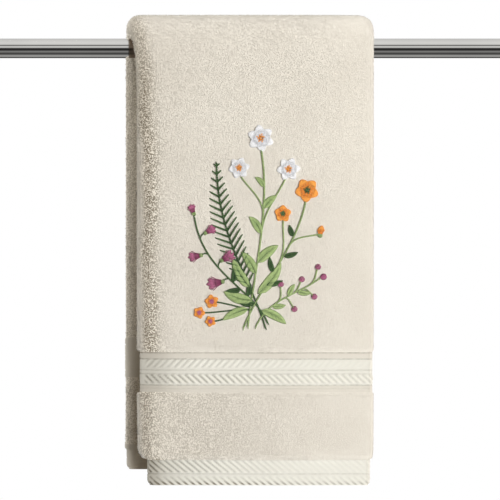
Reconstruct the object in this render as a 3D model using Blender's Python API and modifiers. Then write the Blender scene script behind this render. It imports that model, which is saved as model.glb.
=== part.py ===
"""A hand towel hung over a towel bar. Metres, +Z up.

The origin is the centre of the bar's left end face. The bar runs along +X and the towel's front faces -Y.

The towel is one cut length of thick looped terry. Each end has a flat woven border with two bands of slanting
ribs, a strip of pile, and a flat hem with two more bands. Both sides are folded behind until their edges nearly
meet, so two layers lie everywhere and one plain panel shows. The folded length hangs over the bar.
"""

import math
from collections import namedtuple

import bmesh
import bpy

MM = 0.001

# Every size below is in millimetres, and every angle in degrees.

# The bar
BAR_DIAMETER = 16.0
BAR_LENGTH = 610.0
BAR_SIDES = 48
BAR_END_BEVEL = 0.6

# The cloth
PILE_CLOTH = 6.5  # one layer of terry, over the loops on both faces
FLAT_CLOTH = 2.6  # one layer of the border or the hem
SUNK = (PILE_CLOTH - FLAT_CLOTH) / 2  # how far each flat face lies below the pile
FLAP_WIDTH = 94.0  # from a fold at the side to the edge of the cloth behind the panel
HALF_SLIT = 2.5  # least half width of the slit where the two edges meet
BAR_CLEARANCE = 0.3

# The drops, from the bar's centre line down to the edge of each hem
FRONT_DROP = 355.5
REAR_DROP = 345.3

# The slanting ribs of the woven bands
RIBS = 32
RIB_HEIGHT = 0.8
RIB_MARGIN = 4.0  # from a fold to the first rib
RIB_FADE = 4  # half ribs over which the slant dies out towards a fold

# How finely the loft is divided
ARCH_STEPS = 8
BODY_HEIGHTS = (-14.0, -70.0, -130.0, -190.0)
FOLD_SHARES = (0.08, 0.25, 0.55, 1.0)  # of the roll: columns round the back of a side fold
HOLLOW_ANGLES = (0.0, 30.0, 60.0, 90.0, 120.0, 150.0, 180.0)  # round the hollow inside a side fold
UNDERSIDE_STEPS = 5

# The back of the cloth bends round the bar's centre at this radius, so that the loft's flats still clear the
# bar, and each drop hangs straight down from there
BEND_RADIUS = (BAR_DIAMETER / 2 + BAR_CLEARANCE) / math.cos(math.pi / 2 / ARCH_STEPS)

# The folded panel. at is a height below the bar's centre, or an angle round the bar from front to rear.
# left and right are the side folds from the bar's middle, stack the thickness of the two layers together,
# and roll how far in a side fold is still rounded.
Fold = namedtuple("Fold", "at left right stack roll")
FRONT = (
    Fold(at=0.0, left=-94.2, right=101.2, stack=19.3, roll=15.0),
    Fold(at=-14.0, left=-92.3, right=101.2, stack=19.0, roll=16.0),
    Fold(at=-90.0, left=-92.2, right=101.2, stack=18.0, roll=20.0),
    Fold(at=-180.0, left=-92.2, right=101.2, stack=17.0, roll=22.0),
    Fold(at=-240.0, left=-92.2, right=101.2, stack=16.2, roll=19.0),
    Fold(at=-280.0, left=-92.2, right=101.2, stack=15.8, roll=15.0),
    Fold(at=-327.0, left=-91.7, right=101.0, stack=15.2, roll=13.0),
    Fold(at=-333.5, left=-89.2, right=100.4, stack=14.2, roll=10.0),
    Fold(at=-335.9, left=-85.2, right=99.6, stack=12.4, roll=7.0),
    Fold(at=-355.5, left=-85.2, right=99.4, stack=12.2, roll=6.5),
)
REAR = (
    Fold(at=0.0, left=-102.9, right=100.8, stack=19.3, roll=15.0),
    Fold(at=-90.0, left=-102.9, right=100.8, stack=18.0, roll=18.0),
    Fold(at=-230.0, left=-102.9, right=100.8, stack=16.4, roll=17.0),
    Fold(at=-317.0, left=-102.9, right=100.8, stack=15.2, roll=13.0),
    Fold(at=-323.3, left=-102.6, right=100.5, stack=14.2, roll=10.0),
    Fold(at=-325.7, left=-102.2, right=100.0, stack=12.4, roll=7.0),
    Fold(at=-345.3, left=-102.2, right=100.0, stack=12.2, roll=6.5),
)
ARCH = (
    Fold(at=0.0, left=-94.2, right=101.2, stack=19.3, roll=15.0),
    Fold(at=45.0, left=-98.8, right=101.7, stack=19.3, roll=15.0),
    Fold(at=90.0, left=-101.7, right=101.9, stack=19.3, roll=15.0),
    Fold(at=180.0, left=-102.9, right=100.8, stack=19.3, roll=15.0),
)

# The woven end, from the edge of the hem up. pile is 1 on terry and 0 on flat weave, rib is 1 where the ribs
# stand, lean is how many ribs the slant has carried them to the viewer's right, trim rounds off the edge.
Weave = namedtuple("Weave", "above pile rib lean trim")
WOVEN_END = (
    Weave(above=0.0, pile=0, rib=0, lean=0.67, trim=0.5),
    Weave(above=1.1, pile=0, rib=1, lean=0.60, trim=0.0),
    Weave(above=6.3, pile=0, rib=1, lean=-0.60, trim=0.0),
    Weave(above=8.4, pile=0, rib=0, lean=0.0, trim=0.0),
    Weave(above=10.4, pile=0, rib=1, lean=1.0, trim=0.0),
    Weave(above=19.6, pile=0, rib=1, lean=-1.0, trim=0.0),
    Weave(above=22.0, pile=1, rib=0, lean=0.0, trim=0.0),
    Weave(above=28.5, pile=1, rib=0, lean=0.0, trim=0.0),
    Weave(above=50.0, pile=1, rib=0, lean=0.0, trim=0.0),
    Weave(above=74.4, pile=1, rib=0, lean=0.0, trim=0.0),
    Weave(above=75.9, pile=0, rib=0, lean=0.0, trim=0.0),
    Weave(above=82.4, pile=0, rib=1, lean=0.68, trim=0.0),
    Weave(above=89.5, pile=0, rib=1, lean=-0.68, trim=0.0),
    Weave(above=93.1, pile=0, rib=0, lean=-0.6, trim=0.0),
    Weave(above=95.5, pile=0, rib=1, lean=-0.58, trim=0.0),
    Weave(above=101.6, pile=0, rib=1, lean=0.58, trim=0.0),
    Weave(above=107.2, pile=0, rib=0, lean=0.0, trim=0.0),
    Weave(above=108.5, pile=1, rib=0, lean=0.0, trim=0.0),
)
PLAIN_PILE = Weave(above=0.0, pile=1, rib=0, lean=0.0, trim=0.0)

# Soft swells and hollows of a hanging drop: centre, reach across and down, and how far out it stands
Swell = namedtuple("Swell", "x height wide tall out")
FRONT_SWELLS = (
    Swell(x=10.0, height=-70.0, wide=34.0, tall=60.0, out=0.9),
    Swell(x=-52.0, height=-215.0, wide=30.0, tall=60.0, out=-0.8),
    Swell(x=22.0, height=-300.0, wide=42.0, tall=70.0, out=2.0),
    Swell(x=-58.0, height=-315.0, wide=28.0, tall=50.0, out=-1.2),
    Swell(x=72.0, height=-310.0, wide=24.0, tall=60.0, out=-0.9),
)
REAR_SWELLS = (
    Swell(x=-30.0, height=-150.0, wide=38.0, tall=80.0, out=1.2),
    Swell(x=45.0, height=-290.0, wide=34.0, tall=70.0, out=-1.0),
    Swell(x=-45.0, height=-310.0, wide=34.0, tall=60.0, out=1.0),
)

# Colours and finishes, linear RGB
BEIGE_TERRY = ("beige_terry", (0.72, 0.65, 0.55, 1.0), 0.95, 0.0)
CHROME = ("chrome", (0.82, 0.82, 0.83, 1.0), 0.08, 1.0)


def clear_scene():
    for obj in list(bpy.data.objects):
        bpy.data.objects.remove(obj, do_unlink=True)


def new_collection(name):
    collection = bpy.data.collections.new(name)
    bpy.context.scene.collection.children.link(collection)
    return collection


def new_material(name, colour, roughness, metallic):
    material = bpy.data.materials.new(name)
    material.use_nodes = True
    shader = material.node_tree.nodes["Principled BSDF"]
    shader.inputs["Base Color"].default_value = colour
    shader.inputs["Roughness"].default_value = roughness
    shader.inputs["Metallic"].default_value = metallic
    return material


def read_fold(table, at):
    """The folded panel at a height or an angle, between the two rows of the table on either side of it."""
    rows = sorted(table)
    at = min(max(at, rows[0].at), rows[-1].at)
    for low, high in zip(rows, rows[1:]):
        if at <= high.at:
            break
    share = (at - low.at) / (high.at - low.at)
    return Fold(*(a + (b - a) * share for a, b in zip(low, high)))


def swell(swells, x, height):
    """How far the drop stands out of its plane."""
    return sum(
        s.out * math.exp(-(((x - s.x) / s.wide) ** 2) - ((height - s.height) / s.tall) ** 2)
        for s in swells
    )


def fullness(distance, roll):
    """The share of its full half thickness that the stack has at a distance in from a side fold."""
    if distance >= roll:
        return 1.0
    return math.sqrt(max(0.0, 1.0 - (1.0 - distance / roll) ** 2))


def section(fold, weave, side):
    """One cut across the folded panel: a closed ring of (x, out), where out is measured from the panel's back.

    It runs along the outer face from left to right, back along the right flap's inner face, round the flap's
    edge and the hollow of the right fold, along the panel's underside, and the same way round the left flap.
    """
    sunk = 0.0 if weave.pile else SUNK
    cloth = PILE_CLOTH if weave.pile else FLAT_CLOTH
    left, right = fold.left + sunk, fold.right - sunk
    half = fold.stack / 2 - sunk - weave.trim
    middle = fold.stack / 2
    roll = fold.roll
    cloth -= 2 * weave.trim

    def outer(x):
        return middle + half * fullness(min(x - left, right - x), roll)

    ring = [(left, middle), (left + FOLD_SHARES[0] * roll, outer(left + FOLD_SHARES[0] * roll))]
    pitch = (right - left - 2 * RIB_MARGIN) / RIBS
    for column in range(2 * RIBS + 1):
        fade = min(1.0, column / RIB_FADE, (2 * RIBS - column) / RIB_FADE)
        x = left + RIB_MARGIN + pitch * (column / 2 - side * weave.lean * fade)
        crest = 0.0 if fade == 0.0 else (0.5 if column % 2 else -0.5)
        ring.append((x, outer(x) + weave.rib * crest * RIB_HEIGHT))
    ring.append((right - FOLD_SHARES[0] * roll, outer(right - FOLD_SHARES[0] * roll)))
    ring.append((right, middle))

    reach = min(FLAP_WIDTH - sunk, (right - left) / 2 - HALF_SLIT)
    back = middle - half
    hollow_wide, hollow_deep = roll - cloth, half - cloth

    def flap(edge, inward):
        """The flap from its fold to its edge and back round the hollow, ending under the panel."""
        points = [
            (edge + inward * share * roll, middle - half * fullness(share * roll, roll))
            for share in FOLD_SHARES
        ]
        points.append((edge + inward * reach / 2, back))
        points.append((edge + inward * reach, back))
        points.append((edge + inward * reach, back + cloth))
        points.append((edge + inward * reach / 2, back + cloth))
        for angle in HOLLOW_ANGLES:
            turn = math.radians(angle)
            x = edge + inward * (roll - hollow_wide * math.sin(turn))
            points.append((x, middle - hollow_deep * math.cos(turn)))
        return points

    ring += flap(right, -1)
    under_start, under_end = right - roll, left + roll
    for step in range(1, UNDERSIDE_STEPS):
        x = under_start + (under_end - under_start) * step / UNDERSIDE_STEPS
        ring.append((x, middle + hollow_deep))
    ring += reversed(flap(left, 1))
    return ring


def hung_ring(height, fold, weave, side, swells):
    """A cut across a drop. side is -1 in front of the bar and 1 behind it."""
    return [
        (x, side * (BEND_RADIUS + out + swell(swells, x, height)), height)
        for x, out in section(fold, weave, side)
    ]


def arched_ring(angle, fold):
    """A cut across the cloth where it bends over the bar, at an angle from the front."""
    turn = math.radians(angle)
    return [
        (x, -(BEND_RADIUS + out) * math.cos(turn), (BEND_RADIUS + out) * math.sin(turn))
        for x, out in section(fold, PLAIN_PILE, -1)
    ]


def drop_rings(table, drop, side, swells):
    """The cuts across one drop, from the edge of its hem up to the bar."""
    rows = [(weave.above - drop, weave) for weave in WOVEN_END]
    rows += [(height, PLAIN_PILE) for height in reversed(BODY_HEIGHTS)]
    return [hung_ring(height, read_fold(table, height), weave, side, swells) for height, weave in rows]


def towel_rings():
    rings = drop_rings(FRONT, FRONT_DROP, -1, FRONT_SWELLS)
    for step in range(ARCH_STEPS + 1):
        angle = 180.0 * step / ARCH_STEPS
        rings.append(arched_ring(angle, read_fold(ARCH, angle)))
    rings += reversed(drop_rings(REAR, REAR_DROP, 1, REAR_SWELLS))
    return rings


def make_towel(collection):
    """The cloth: a loft through the cuts, closed at the edge of each hem."""
    mesh = bmesh.new()
    middle = BAR_LENGTH / 2
    rows = [
        [mesh.verts.new(((middle + x) * MM, y * MM, z * MM)) for x, y, z in ring]
        for ring in towel_rings()
    ]
    for row, following in zip(rows, rows[1:]):
        for k in range(len(row)):
            mesh.faces.new((row[k - 1], row[k], following[k], following[k - 1]))
    mesh.faces.new(rows[0])
    mesh.faces.new(rows[-1])
    bmesh.ops.recalc_face_normals(mesh, faces=mesh.faces)
    data = bpy.data.meshes.new("towel")
    mesh.to_mesh(data)
    mesh.free()
    data.shade_smooth()
    data.set_sharp_from_angle(angle=math.radians(50.0))
    towel = bpy.data.objects.new("towel", data)
    collection.objects.link(towel)
    towel.data.materials.append(new_material(*BEIGE_TERRY))
    return towel


def make_bar(collection):
    """The rod that the towel hangs from, with its left end face at the origin."""
    bpy.ops.mesh.primitive_cylinder_add(
        vertices=BAR_SIDES,
        radius=BAR_DIAMETER / 2 * MM,
        depth=BAR_LENGTH * MM,
        location=(BAR_LENGTH / 2 * MM, 0.0, 0.0),
        rotation=(0.0, math.radians(90.0), 0.0),
    )
    bar = bpy.context.object
    bar.name = "bar"
    bar.data.name = "bar"
    for home in list(bar.users_collection):
        home.objects.unlink(bar)
    collection.objects.link(bar)
    bevel = bar.modifiers.new("end_bevel", "BEVEL")
    bevel.width = BAR_END_BEVEL * MM
    bevel.segments = 2
    bevel.limit_method = "ANGLE"
    bevel.angle_limit = math.radians(60.0)
    bar.data.shade_smooth()
    bar.data.set_sharp_from_angle(angle=math.radians(40.0))
    bar.data.materials.append(new_material(*CHROME))
    return bar


def main():
    clear_scene()
    parts = new_collection("hand_towel_on_bar")
    make_bar(parts)
    make_towel(parts)


main()
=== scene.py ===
# %% [markdown]
# # A terry hand towel over a chrome bar
#
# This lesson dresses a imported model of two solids, a rod and the towel that hangs over it. The frame
# gives the rod's place and size, and everything here is built round it in the same metres. Sizes are
# written in millimetres and made metres where a mesh is made.

# %% The frame
import math
import random
from collections import namedtuple

import bmesh
import bpy
import numpy as np
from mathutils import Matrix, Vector


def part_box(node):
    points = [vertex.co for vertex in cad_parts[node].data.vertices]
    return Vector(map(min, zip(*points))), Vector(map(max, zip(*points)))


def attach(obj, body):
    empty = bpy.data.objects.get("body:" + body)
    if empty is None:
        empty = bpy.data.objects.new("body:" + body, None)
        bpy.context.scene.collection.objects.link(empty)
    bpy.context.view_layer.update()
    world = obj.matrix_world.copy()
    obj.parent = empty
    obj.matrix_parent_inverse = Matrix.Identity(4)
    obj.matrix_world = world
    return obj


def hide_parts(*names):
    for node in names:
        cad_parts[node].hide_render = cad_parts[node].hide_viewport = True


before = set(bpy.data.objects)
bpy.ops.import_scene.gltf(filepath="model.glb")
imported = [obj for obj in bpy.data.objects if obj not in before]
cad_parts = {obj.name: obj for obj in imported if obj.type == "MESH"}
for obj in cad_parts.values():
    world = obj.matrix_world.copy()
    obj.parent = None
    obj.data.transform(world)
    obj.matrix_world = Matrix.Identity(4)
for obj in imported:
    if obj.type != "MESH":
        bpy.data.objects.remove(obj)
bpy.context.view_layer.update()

MM = 0.001
rod_low, rod_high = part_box("bar")
ROD_RADIUS = (rod_high.z - rod_low.z) / 2 / MM
ROD_LENGTH = (rod_high.x - rod_low.x) / MM
MIDDLE = ROD_LENGTH / 2  # the towel's tables count x from the middle of the rod
print(f"rod: {ROD_LENGTH:.1f} mm long, {2 * ROD_RADIUS:.1f} mm thick")

# %% [markdown]
# The camera comes first, because every later choice is seen through it. The towel is seen square on,
# so the camera looks along +Y. A long lens from 1.8 m keeps the sides of the folded cloth nearly
# parallel, as they are in a catalogue picture.

# %% The camera
CAMERA_DISTANCE = 1.8
FRAME_WIDTH = 0.410  # what the frame takes in at the rod
ROD_IN_FRAME = 0.0968  # how far down the frame the rod's centre lies, as a share of its height
SENSOR = 36.0

camera = bpy.data.objects.new("camera", bpy.data.cameras.new("camera"))
bpy.context.scene.collection.objects.link(camera)
camera.data.sensor_width = SENSOR
camera.data.lens = SENSOR * CAMERA_DISTANCE / FRAME_WIDTH
camera.location = (MIDDLE * MM, -CAMERA_DISTANCE, FRAME_WIDTH * (ROD_IN_FRAME - 0.5))
camera.rotation_euler = (math.radians(90), 0, 0)
bpy.context.scene.camera = camera
print(f"lens: {camera.data.lens:.0f} mm")

# %% [markdown]
# A node tree is easier to read when a node and what feeds it stand on one line. These helpers add a node,
# set its inputs by name or number, and link whatever is itself a socket. Shader trees and Geometry Nodes
# both use them.

# %% Helpers for node trees
def feed(tree, node, inputs):
    """Sets a node's inputs, by name or number, to values, and links those that are sockets."""
    for key, value in inputs.items():
        if isinstance(value, bpy.types.NodeSocket):
            tree.links.new(value, node.inputs[key])
        else:
            node.inputs[key].default_value = value


def add(tree, kind, inputs=None, **settings):
    """A new node. settings are the node's own properties."""
    node = tree.nodes.new(kind)
    for name, value in settings.items():
        setattr(node, name, value)
    feed(tree, node, inputs or {})
    return node


def result(tree, kind, inputs=None, **settings):
    """The first output of a new node."""
    return add(tree, kind, inputs, **settings).outputs[0]


def math_node(tree, operation, *values):
    """The result of one sum, with values or sockets as its terms."""
    return result(tree, "ShaderNodeMath", dict(enumerate(values)), operation=operation)


def times(tree, product, *factors):
    """The product of values or sockets, from left to right."""
    for factor in factors:
        product = math_node(tree, "MULTIPLY", product, factor)
    return product


def remaining(tree, share):
    """What a share leaves of 1."""
    return math_node(tree, "SUBTRACT", 1.0, share)


def vector_node(tree, operation, inputs):
    """The result of one sum of vectors."""
    return result(tree, "ShaderNodeVectorMath", inputs, operation=operation)


def ranged(tree, value, start, end, low=0.0, high=1.0, **settings):
    """low up to start, high from end on, and what lies between them in between."""
    inputs = {"Value": value, "From Min": start, "From Max": end, "To Min": low, "To Max": high}
    return result(tree, "ShaderNodeMapRange", inputs, **settings)


def soft_step(tree, value, start, end):
    """0 up to start, 1 from end on, and a smooth rise between them."""
    return ranged(tree, value, start, end, interpolation_type="SMOOTHSTEP")


# %% Helpers for shaders
def new_material(name):
    """An empty material, its tree and its shader, ready for inputs."""
    material = bpy.data.materials.new(name)
    material.use_nodes = True
    return material, material.node_tree, material.node_tree.nodes["Principled BSDF"]


def grey(value):
    return (value, value, value, 1.0)


def ramp(tree, factor, stops):
    """A colour ramp through (position, colour) stops."""
    node = add(tree, "ShaderNodeValToRGB", {"Fac": factor})
    elements = node.color_ramp.elements
    while len(elements) < len(stops):
        elements.new(0.5)
    for element, (position, colour) in zip(elements, stops):
        element.position = position
        element.color = colour
    return node.outputs["Color"]


def mix_colour(tree, share, first, second, blend="MIX"):
    """Two colours mixed, or multiplied, by a share."""
    node = add(tree, "ShaderNodeMix", {0: share, 6: first, 7: second}, data_type="RGBA", blend_type=blend)
    return node.outputs[2]


def noise(tree, place, scale, detail):
    """The height of a noise, about 0.5 in the middle."""
    return result(tree, "ShaderNodeTexNoise", {"Vector": place, "Scale": scale, "Detail": detail})


def bumped(tree, height, strength, distance):
    """The normal of a surface with a fine relief."""
    inputs = {"Strength": strength, "Distance": distance, "Height": height}
    return result(tree, "ShaderNodeBump", inputs)


# %% [markdown]
# Chrome has no colour of its own and shows the studio. A long rod shows it as level bands, because a turn
# round the rod's own axis is all that changes from one line of it to the next. The studio is made as a
# world whose brightness depends only on the height angle round the X axis: pale above, a dark line where
# two screens meet, a dark floor edge, and so on. The cloth doesn't need the bands. It is lit by a soft
# world that changes with the bearing: a strong white screen at the left, just behind the towel, little
# light from straight behind, and a dim warm room in front, all of it stronger from above. A large key
# light stands in front at the right and fills the panel. The camera itself sees white.

# %% The studio
# (height angle round the rod, brightness), in degrees from -180 behind over -90 below, 0 in front, 90 above
BANDS = (
    (-180, 0.05), (-134, 0.06), (-124, 0.30), (-104, 0.42), (-88, 0.22), (-78, 0.07), (-58, 0.07),
    (-50, 0.24), (-36, 0.20), (-28, 0.03), (-8, 0.02), (-2, 0.10), (6, 0.66), (20, 0.66), (26, 0.16),
    (33, 0.12), (39, 0.62), (58, 0.78), (90, 0.72), (150, 0.60), (180, 0.05),
)
# (bearing, colour), in degrees from -180 behind over -90 at the left, 0 in front and 90 at the right
BEARINGS = (
    (-180, (0.08, 0.08, 0.08)), (-150, (0.08, 0.08, 0.08)), (-125, (0.50, 0.50, 0.49)),
    (-106, (2.05, 2.04, 2.01)), (-90, (0.76, 0.73, 0.69)), (-74, (0.34, 0.315, 0.26)),
    (-50, (0.11, 0.095, 0.068)), (-20, (0.035, 0.031, 0.022)), (0, (0.030, 0.029, 0.026)),
    (50, (0.033, 0.032, 0.030)), (90, (0.045, 0.044, 0.043)), (140, (0.12, 0.12, 0.12)),
    (180, (0.10, 0.10, 0.10)),
)
SOFT_STRENGTH = 2.12
SOFT_BELOW, SOFT_ABOVE = 0.5, 2.6  # how much of it comes from straight below and straight above


def round_ramp(tree, side, ahead, stops):
    """A colour ramp over a whole turn, with its stops in degrees from -180 to 180."""
    angle = math_node(tree, "ARCTAN2", side, ahead)
    share = math_node(tree, "ADD", math_node(tree, "DIVIDE", angle, 2 * math.pi), 0.5)
    return ramp(tree, share, [((degrees + 180) / 360, colour) for degrees, colour in stops])


world = bpy.data.worlds.new("studio")
world.use_nodes = True
bpy.context.scene.world = world
tree = world.node_tree
tree.nodes.clear()
direction = add(tree, "ShaderNodeSeparateXYZ", {0: add(tree, "ShaderNodeTexCoord").outputs["Generated"]})
right, behind, up = direction.outputs
front = times(tree, behind, -1.0)
bands = round_ramp(tree, up, front, [(degrees, grey(level)) for degrees, level in BANDS])
around = round_ramp(tree, right, front, [(degrees, (*colour, 1)) for degrees, colour in BEARINGS])
strength = times(tree, ranged(tree, up, -1.0, 1.0, SOFT_BELOW, SOFT_ABOVE), SOFT_STRENGTH)
soft = result(tree, "ShaderNodeBackground", {"Color": around, "Strength": strength})
banded = result(tree, "ShaderNodeBackground", {"Color": bands})
white = result(tree, "ShaderNodeBackground", {"Color": grey(1.0)})
rays = add(tree, "ShaderNodeLightPath").outputs
shown = result(tree, "ShaderNodeMixShader", {0: rays["Is Glossy Ray"], 1: soft, 2: banded})
shown = result(tree, "ShaderNodeMixShader", {0: rays["Is Camera Ray"], 1: shown, 2: white})
add(tree, "ShaderNodeOutputWorld", {"Surface": shown})
bpy.context.scene.view_settings.view_transform = "Standard"
print(f"studio: {len(BANDS)} bands for the chrome, {len(BEARINGS)} bearings for the cloth")

# %% The key light
KEY_PLACE = Vector((1.61, -2.01, -0.12))
KEY_AIM = Vector((MIDDLE * MM, 0, -0.19))
KEY_SIZE = 1.5
KEY_POWER = 69.5

key = bpy.data.objects.new("key_light", bpy.data.lights.new("key_light", "AREA"))
bpy.context.scene.collection.objects.link(key)
key.data.shape = "SQUARE"
key.data.size = KEY_SIZE
key.data.energy = KEY_POWER
key.data.color = (1.0, 0.995, 0.985)
key.location = KEY_PLACE
key.rotation_euler = (KEY_AIM - KEY_PLACE).to_track_quat("-Z", "Y").to_euler()
key.visible_glossy = False
key.visible_camera = False
print(f"key light: {KEY_POWER} W from {(KEY_AIM - KEY_PLACE).length:.2f} m")

# %% [markdown]
# Two things stand in the studio. A black flag at the lower left keeps the soft light off the foot of the
# rear drop, and the camera doesn't see it. The floor is pale and far below, and sends a little light up.

# %% The flag and the floor
FLAG_WIDTH, FLAG_HEIGHT = 0.46, 0.62
FLAG_PLACE = (MIDDLE * MM - 0.28, -0.25, -0.45)
FLAG_TURN = -46.0
FLOOR_LEVEL = -2.4
FLOOR_RADIUS = 6.0


def paint(piece, name, inputs):
    """Gives a piece of the studio a plain material, and hides it from the chrome."""
    material, tree, shader = new_material(name)
    feed(tree, shader, inputs)
    piece.data.materials.append(material)
    piece.visible_glossy = False


turned = (math.radians(90), 0, math.radians(FLAG_TURN))
bpy.ops.mesh.primitive_plane_add(size=1.0, location=FLAG_PLACE, rotation=turned)
flag = bpy.context.object
flag.name = "flag"
flag.scale = (FLAG_WIDTH, FLAG_HEIGHT, 1.0)
bpy.ops.object.transform_apply(location=False, rotation=True, scale=True)
flag.visible_camera = False
paint(flag, "black_flag", {"Base Color": grey(0.01)})

below = (MIDDLE * MM, 0, FLOOR_LEVEL)
bpy.ops.mesh.primitive_circle_add(vertices=96, radius=FLOOR_RADIUS, fill_type="NGON", location=below)
floor = bpy.context.object
floor.name = "floor"
paint(floor, "pale_floor", {"Base Color": (0.72, 0.72, 0.71, 1), "Roughness": 0.8})
print(f"floor {-FLOOR_LEVEL:.1f} m below the rod")

# %% [markdown]
# The rod is a plain tube with flat ends and a small rounded edge. Turning a profile gives it many sides
# and a clean bevel in one step, which a cylinder with a modifier would also do, but the profile says
# exactly where each ring is.

# %% The rod
ROD_SIDES = 160
EDGE_RADIUS = 0.6
EDGE_STEPS = 4
ROD_BAYS = 24  # lengths between rings along the tube


def placed(name, data):
    """An object of the scene that shows a mesh where the mesh lies."""
    piece = bpy.data.objects.new(name, data)
    bpy.context.scene.collection.objects.link(piece)
    return piece


def new_piece(name, mesh, sharp=40.0):
    """A bmesh as a smooth piece whose edges stay sharp over an angle."""
    data = bpy.data.meshes.new(name)
    mesh.to_mesh(data)
    mesh.free()
    data.shade_smooth()
    data.set_sharp_from_angle(angle=math.radians(sharp))
    return placed(name, data)


def rod_profile():
    """Distance along the rod and radius, from one end face to the other, in mm."""
    turns = [math.radians(90 * step / EDGE_STEPS) for step in range(EDGE_STEPS, -1, -1)]
    inner = ROD_RADIUS - EDGE_RADIUS
    rounded = [(EDGE_RADIUS * (1 - math.sin(t)), inner + EDGE_RADIUS * math.cos(t)) for t in turns]
    plain = [(ROD_LENGTH * bay / ROD_BAYS, ROD_RADIUS) for bay in range(1, ROD_BAYS)]
    far = [(ROD_LENGTH - along, radius) for along, radius in reversed(rounded)]
    return rounded + plain + far


def make_rod():
    mesh = bmesh.new()
    rings = []
    turns = [2 * math.pi * side / ROD_SIDES for side in range(ROD_SIDES)]
    for along, radius in rod_profile():
        places = [(along * MM, radius * math.sin(t) * MM, radius * math.cos(t) * MM) for t in turns]
        rings.append([mesh.verts.new(place) for place in places])
    for ring, following in zip(rings, rings[1:]):
        for side in range(ROD_SIDES):
            mesh.faces.new((ring[side - 1], ring[side], following[side], following[side - 1]))
    for ring in (rings[0], rings[-1]):
        mesh.faces.new(ring)
    bmesh.ops.recalc_face_normals(mesh, faces=mesh.faces)
    return new_piece("chrome_rod", mesh)


rod = make_rod()
print(f"chrome_rod: {len(rod.data.polygons)} faces")

# %% [markdown]
# Polished chrome is nearly a mirror. What keeps it from looking computed is wear that the eye hardly
# finds: faint lengthwise polishing marks and slow changes of gloss. Both are noise, which is stretched
# along the rod for the marks. Where the rod enters the mouth of the folded cloth, a brown shade is
# painted into its colour, standing in for the shaded cloth that it would mirror there, and the rod is
# made rougher there.

# %% Chrome
MOUTH_LEFT, MOUTH_RIGHT = -100.0, 100.5  # mm from the rod's middle, where it enters the cloth
MOUTH_FADE = 1.6
# painted shade: the brown that stands in for the shaded cloth the rod would mirror at the mouth
MOUTH_SHADE_COLOUR = (0.20, 0.155, 0.115, 1)
MOUTH_ROUGHNESS = 0.25  # how much rougher the rod is there

chrome, tree, shader = new_material("polished_chrome")
place = add(tree, "ShaderNodeTexCoord").outputs["Object"]
stretched = result(tree, "ShaderNodeMapping", {"Vector": place, "Scale": (3.0, 260.0, 260.0)})
polish = bumped(tree, noise(tree, stretched, 4.0, 3.0), 0.02, 0.0002)
slow = noise(tree, place, 22.0, 2.0)
gloss = ranged(tree, slow, 0.0, 1.0, 0.03, 0.075)
tint = ramp(tree, slow, [(0.3, (0.80, 0.79, 0.765, 1)), (0.7, (0.86, 0.85, 0.82, 1))])
beside = add(tree, "ShaderNodeSeparateXYZ", {0: place}).outputs["X"]
entered = (MIDDLE + MOUTH_LEFT) * MM, (MIDDLE + MOUTH_LEFT + MOUTH_FADE) * MM
left_again = math_node(tree, "GREATER_THAN", beside, (MIDDLE + MOUTH_RIGHT) * MM)
mouth_shade = times(tree, soft_step(tree, beside, *entered), remaining(tree, left_again))
# painted shade at the mouth of the cloth
tint = mix_colour(tree, mouth_shade, tint, MOUTH_SHADE_COLOUR)
dull = math_node(tree, "MULTIPLY_ADD", mouth_shade, MOUTH_ROUGHNESS, gloss)
feed(tree, shader, {"Metallic": 1.0, "Base Color": tint, "Roughness": dull, "Normal": polish})
rod.data.materials.append(chrome)

# %% [markdown]
# The towel is one length of cloth. Both sides are folded behind until the edges nearly meet, and the
# folded panel hangs over the rod. Its solid gives the places of the folds, so the same tables stand here:
# each row is one level of the hanging panel, and the levels between two rows are read off straight.

# %% The folds of the cloth
PILE_CLOTH = 6.5  # one layer of terry, over the loops on both faces
FLAT_CLOTH = 2.6  # one layer of the flat woven bands
FLAT_SUNK = (PILE_CLOTH - FLAT_CLOTH) / 2
GROUND_SUNK = 0.9  # how far the ground of the pile lies below the tips of its loops
FLAP_WIDTH = 94.0  # from a side fold to the edge of the cloth behind
HALF_SLIT = 2.5  # half of what the edges of the two flaps leave open
MIDDLE_EDGE = 0.5  # how far through the stack, from its back, the outermost line of an even fold lies
LEFT_EDGE = 0.34  # the same for the front's left fold
ROD_CLEARANCE = 0.3
SOLID_STEPS = 8  # straight lengths in which the solid bends over the rod
BEND_RADIUS = (ROD_RADIUS + ROD_CLEARANCE) / math.cos(math.pi / 2 / SOLID_STEPS)  # the back of the cloth
FRONT_DROP, REAR_DROP = 355.5, 345.3



def rows_of(kind, *rows):
    """Rows of plain numbers as rows with named values."""
    return tuple(kind(*row) for row in rows)


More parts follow.
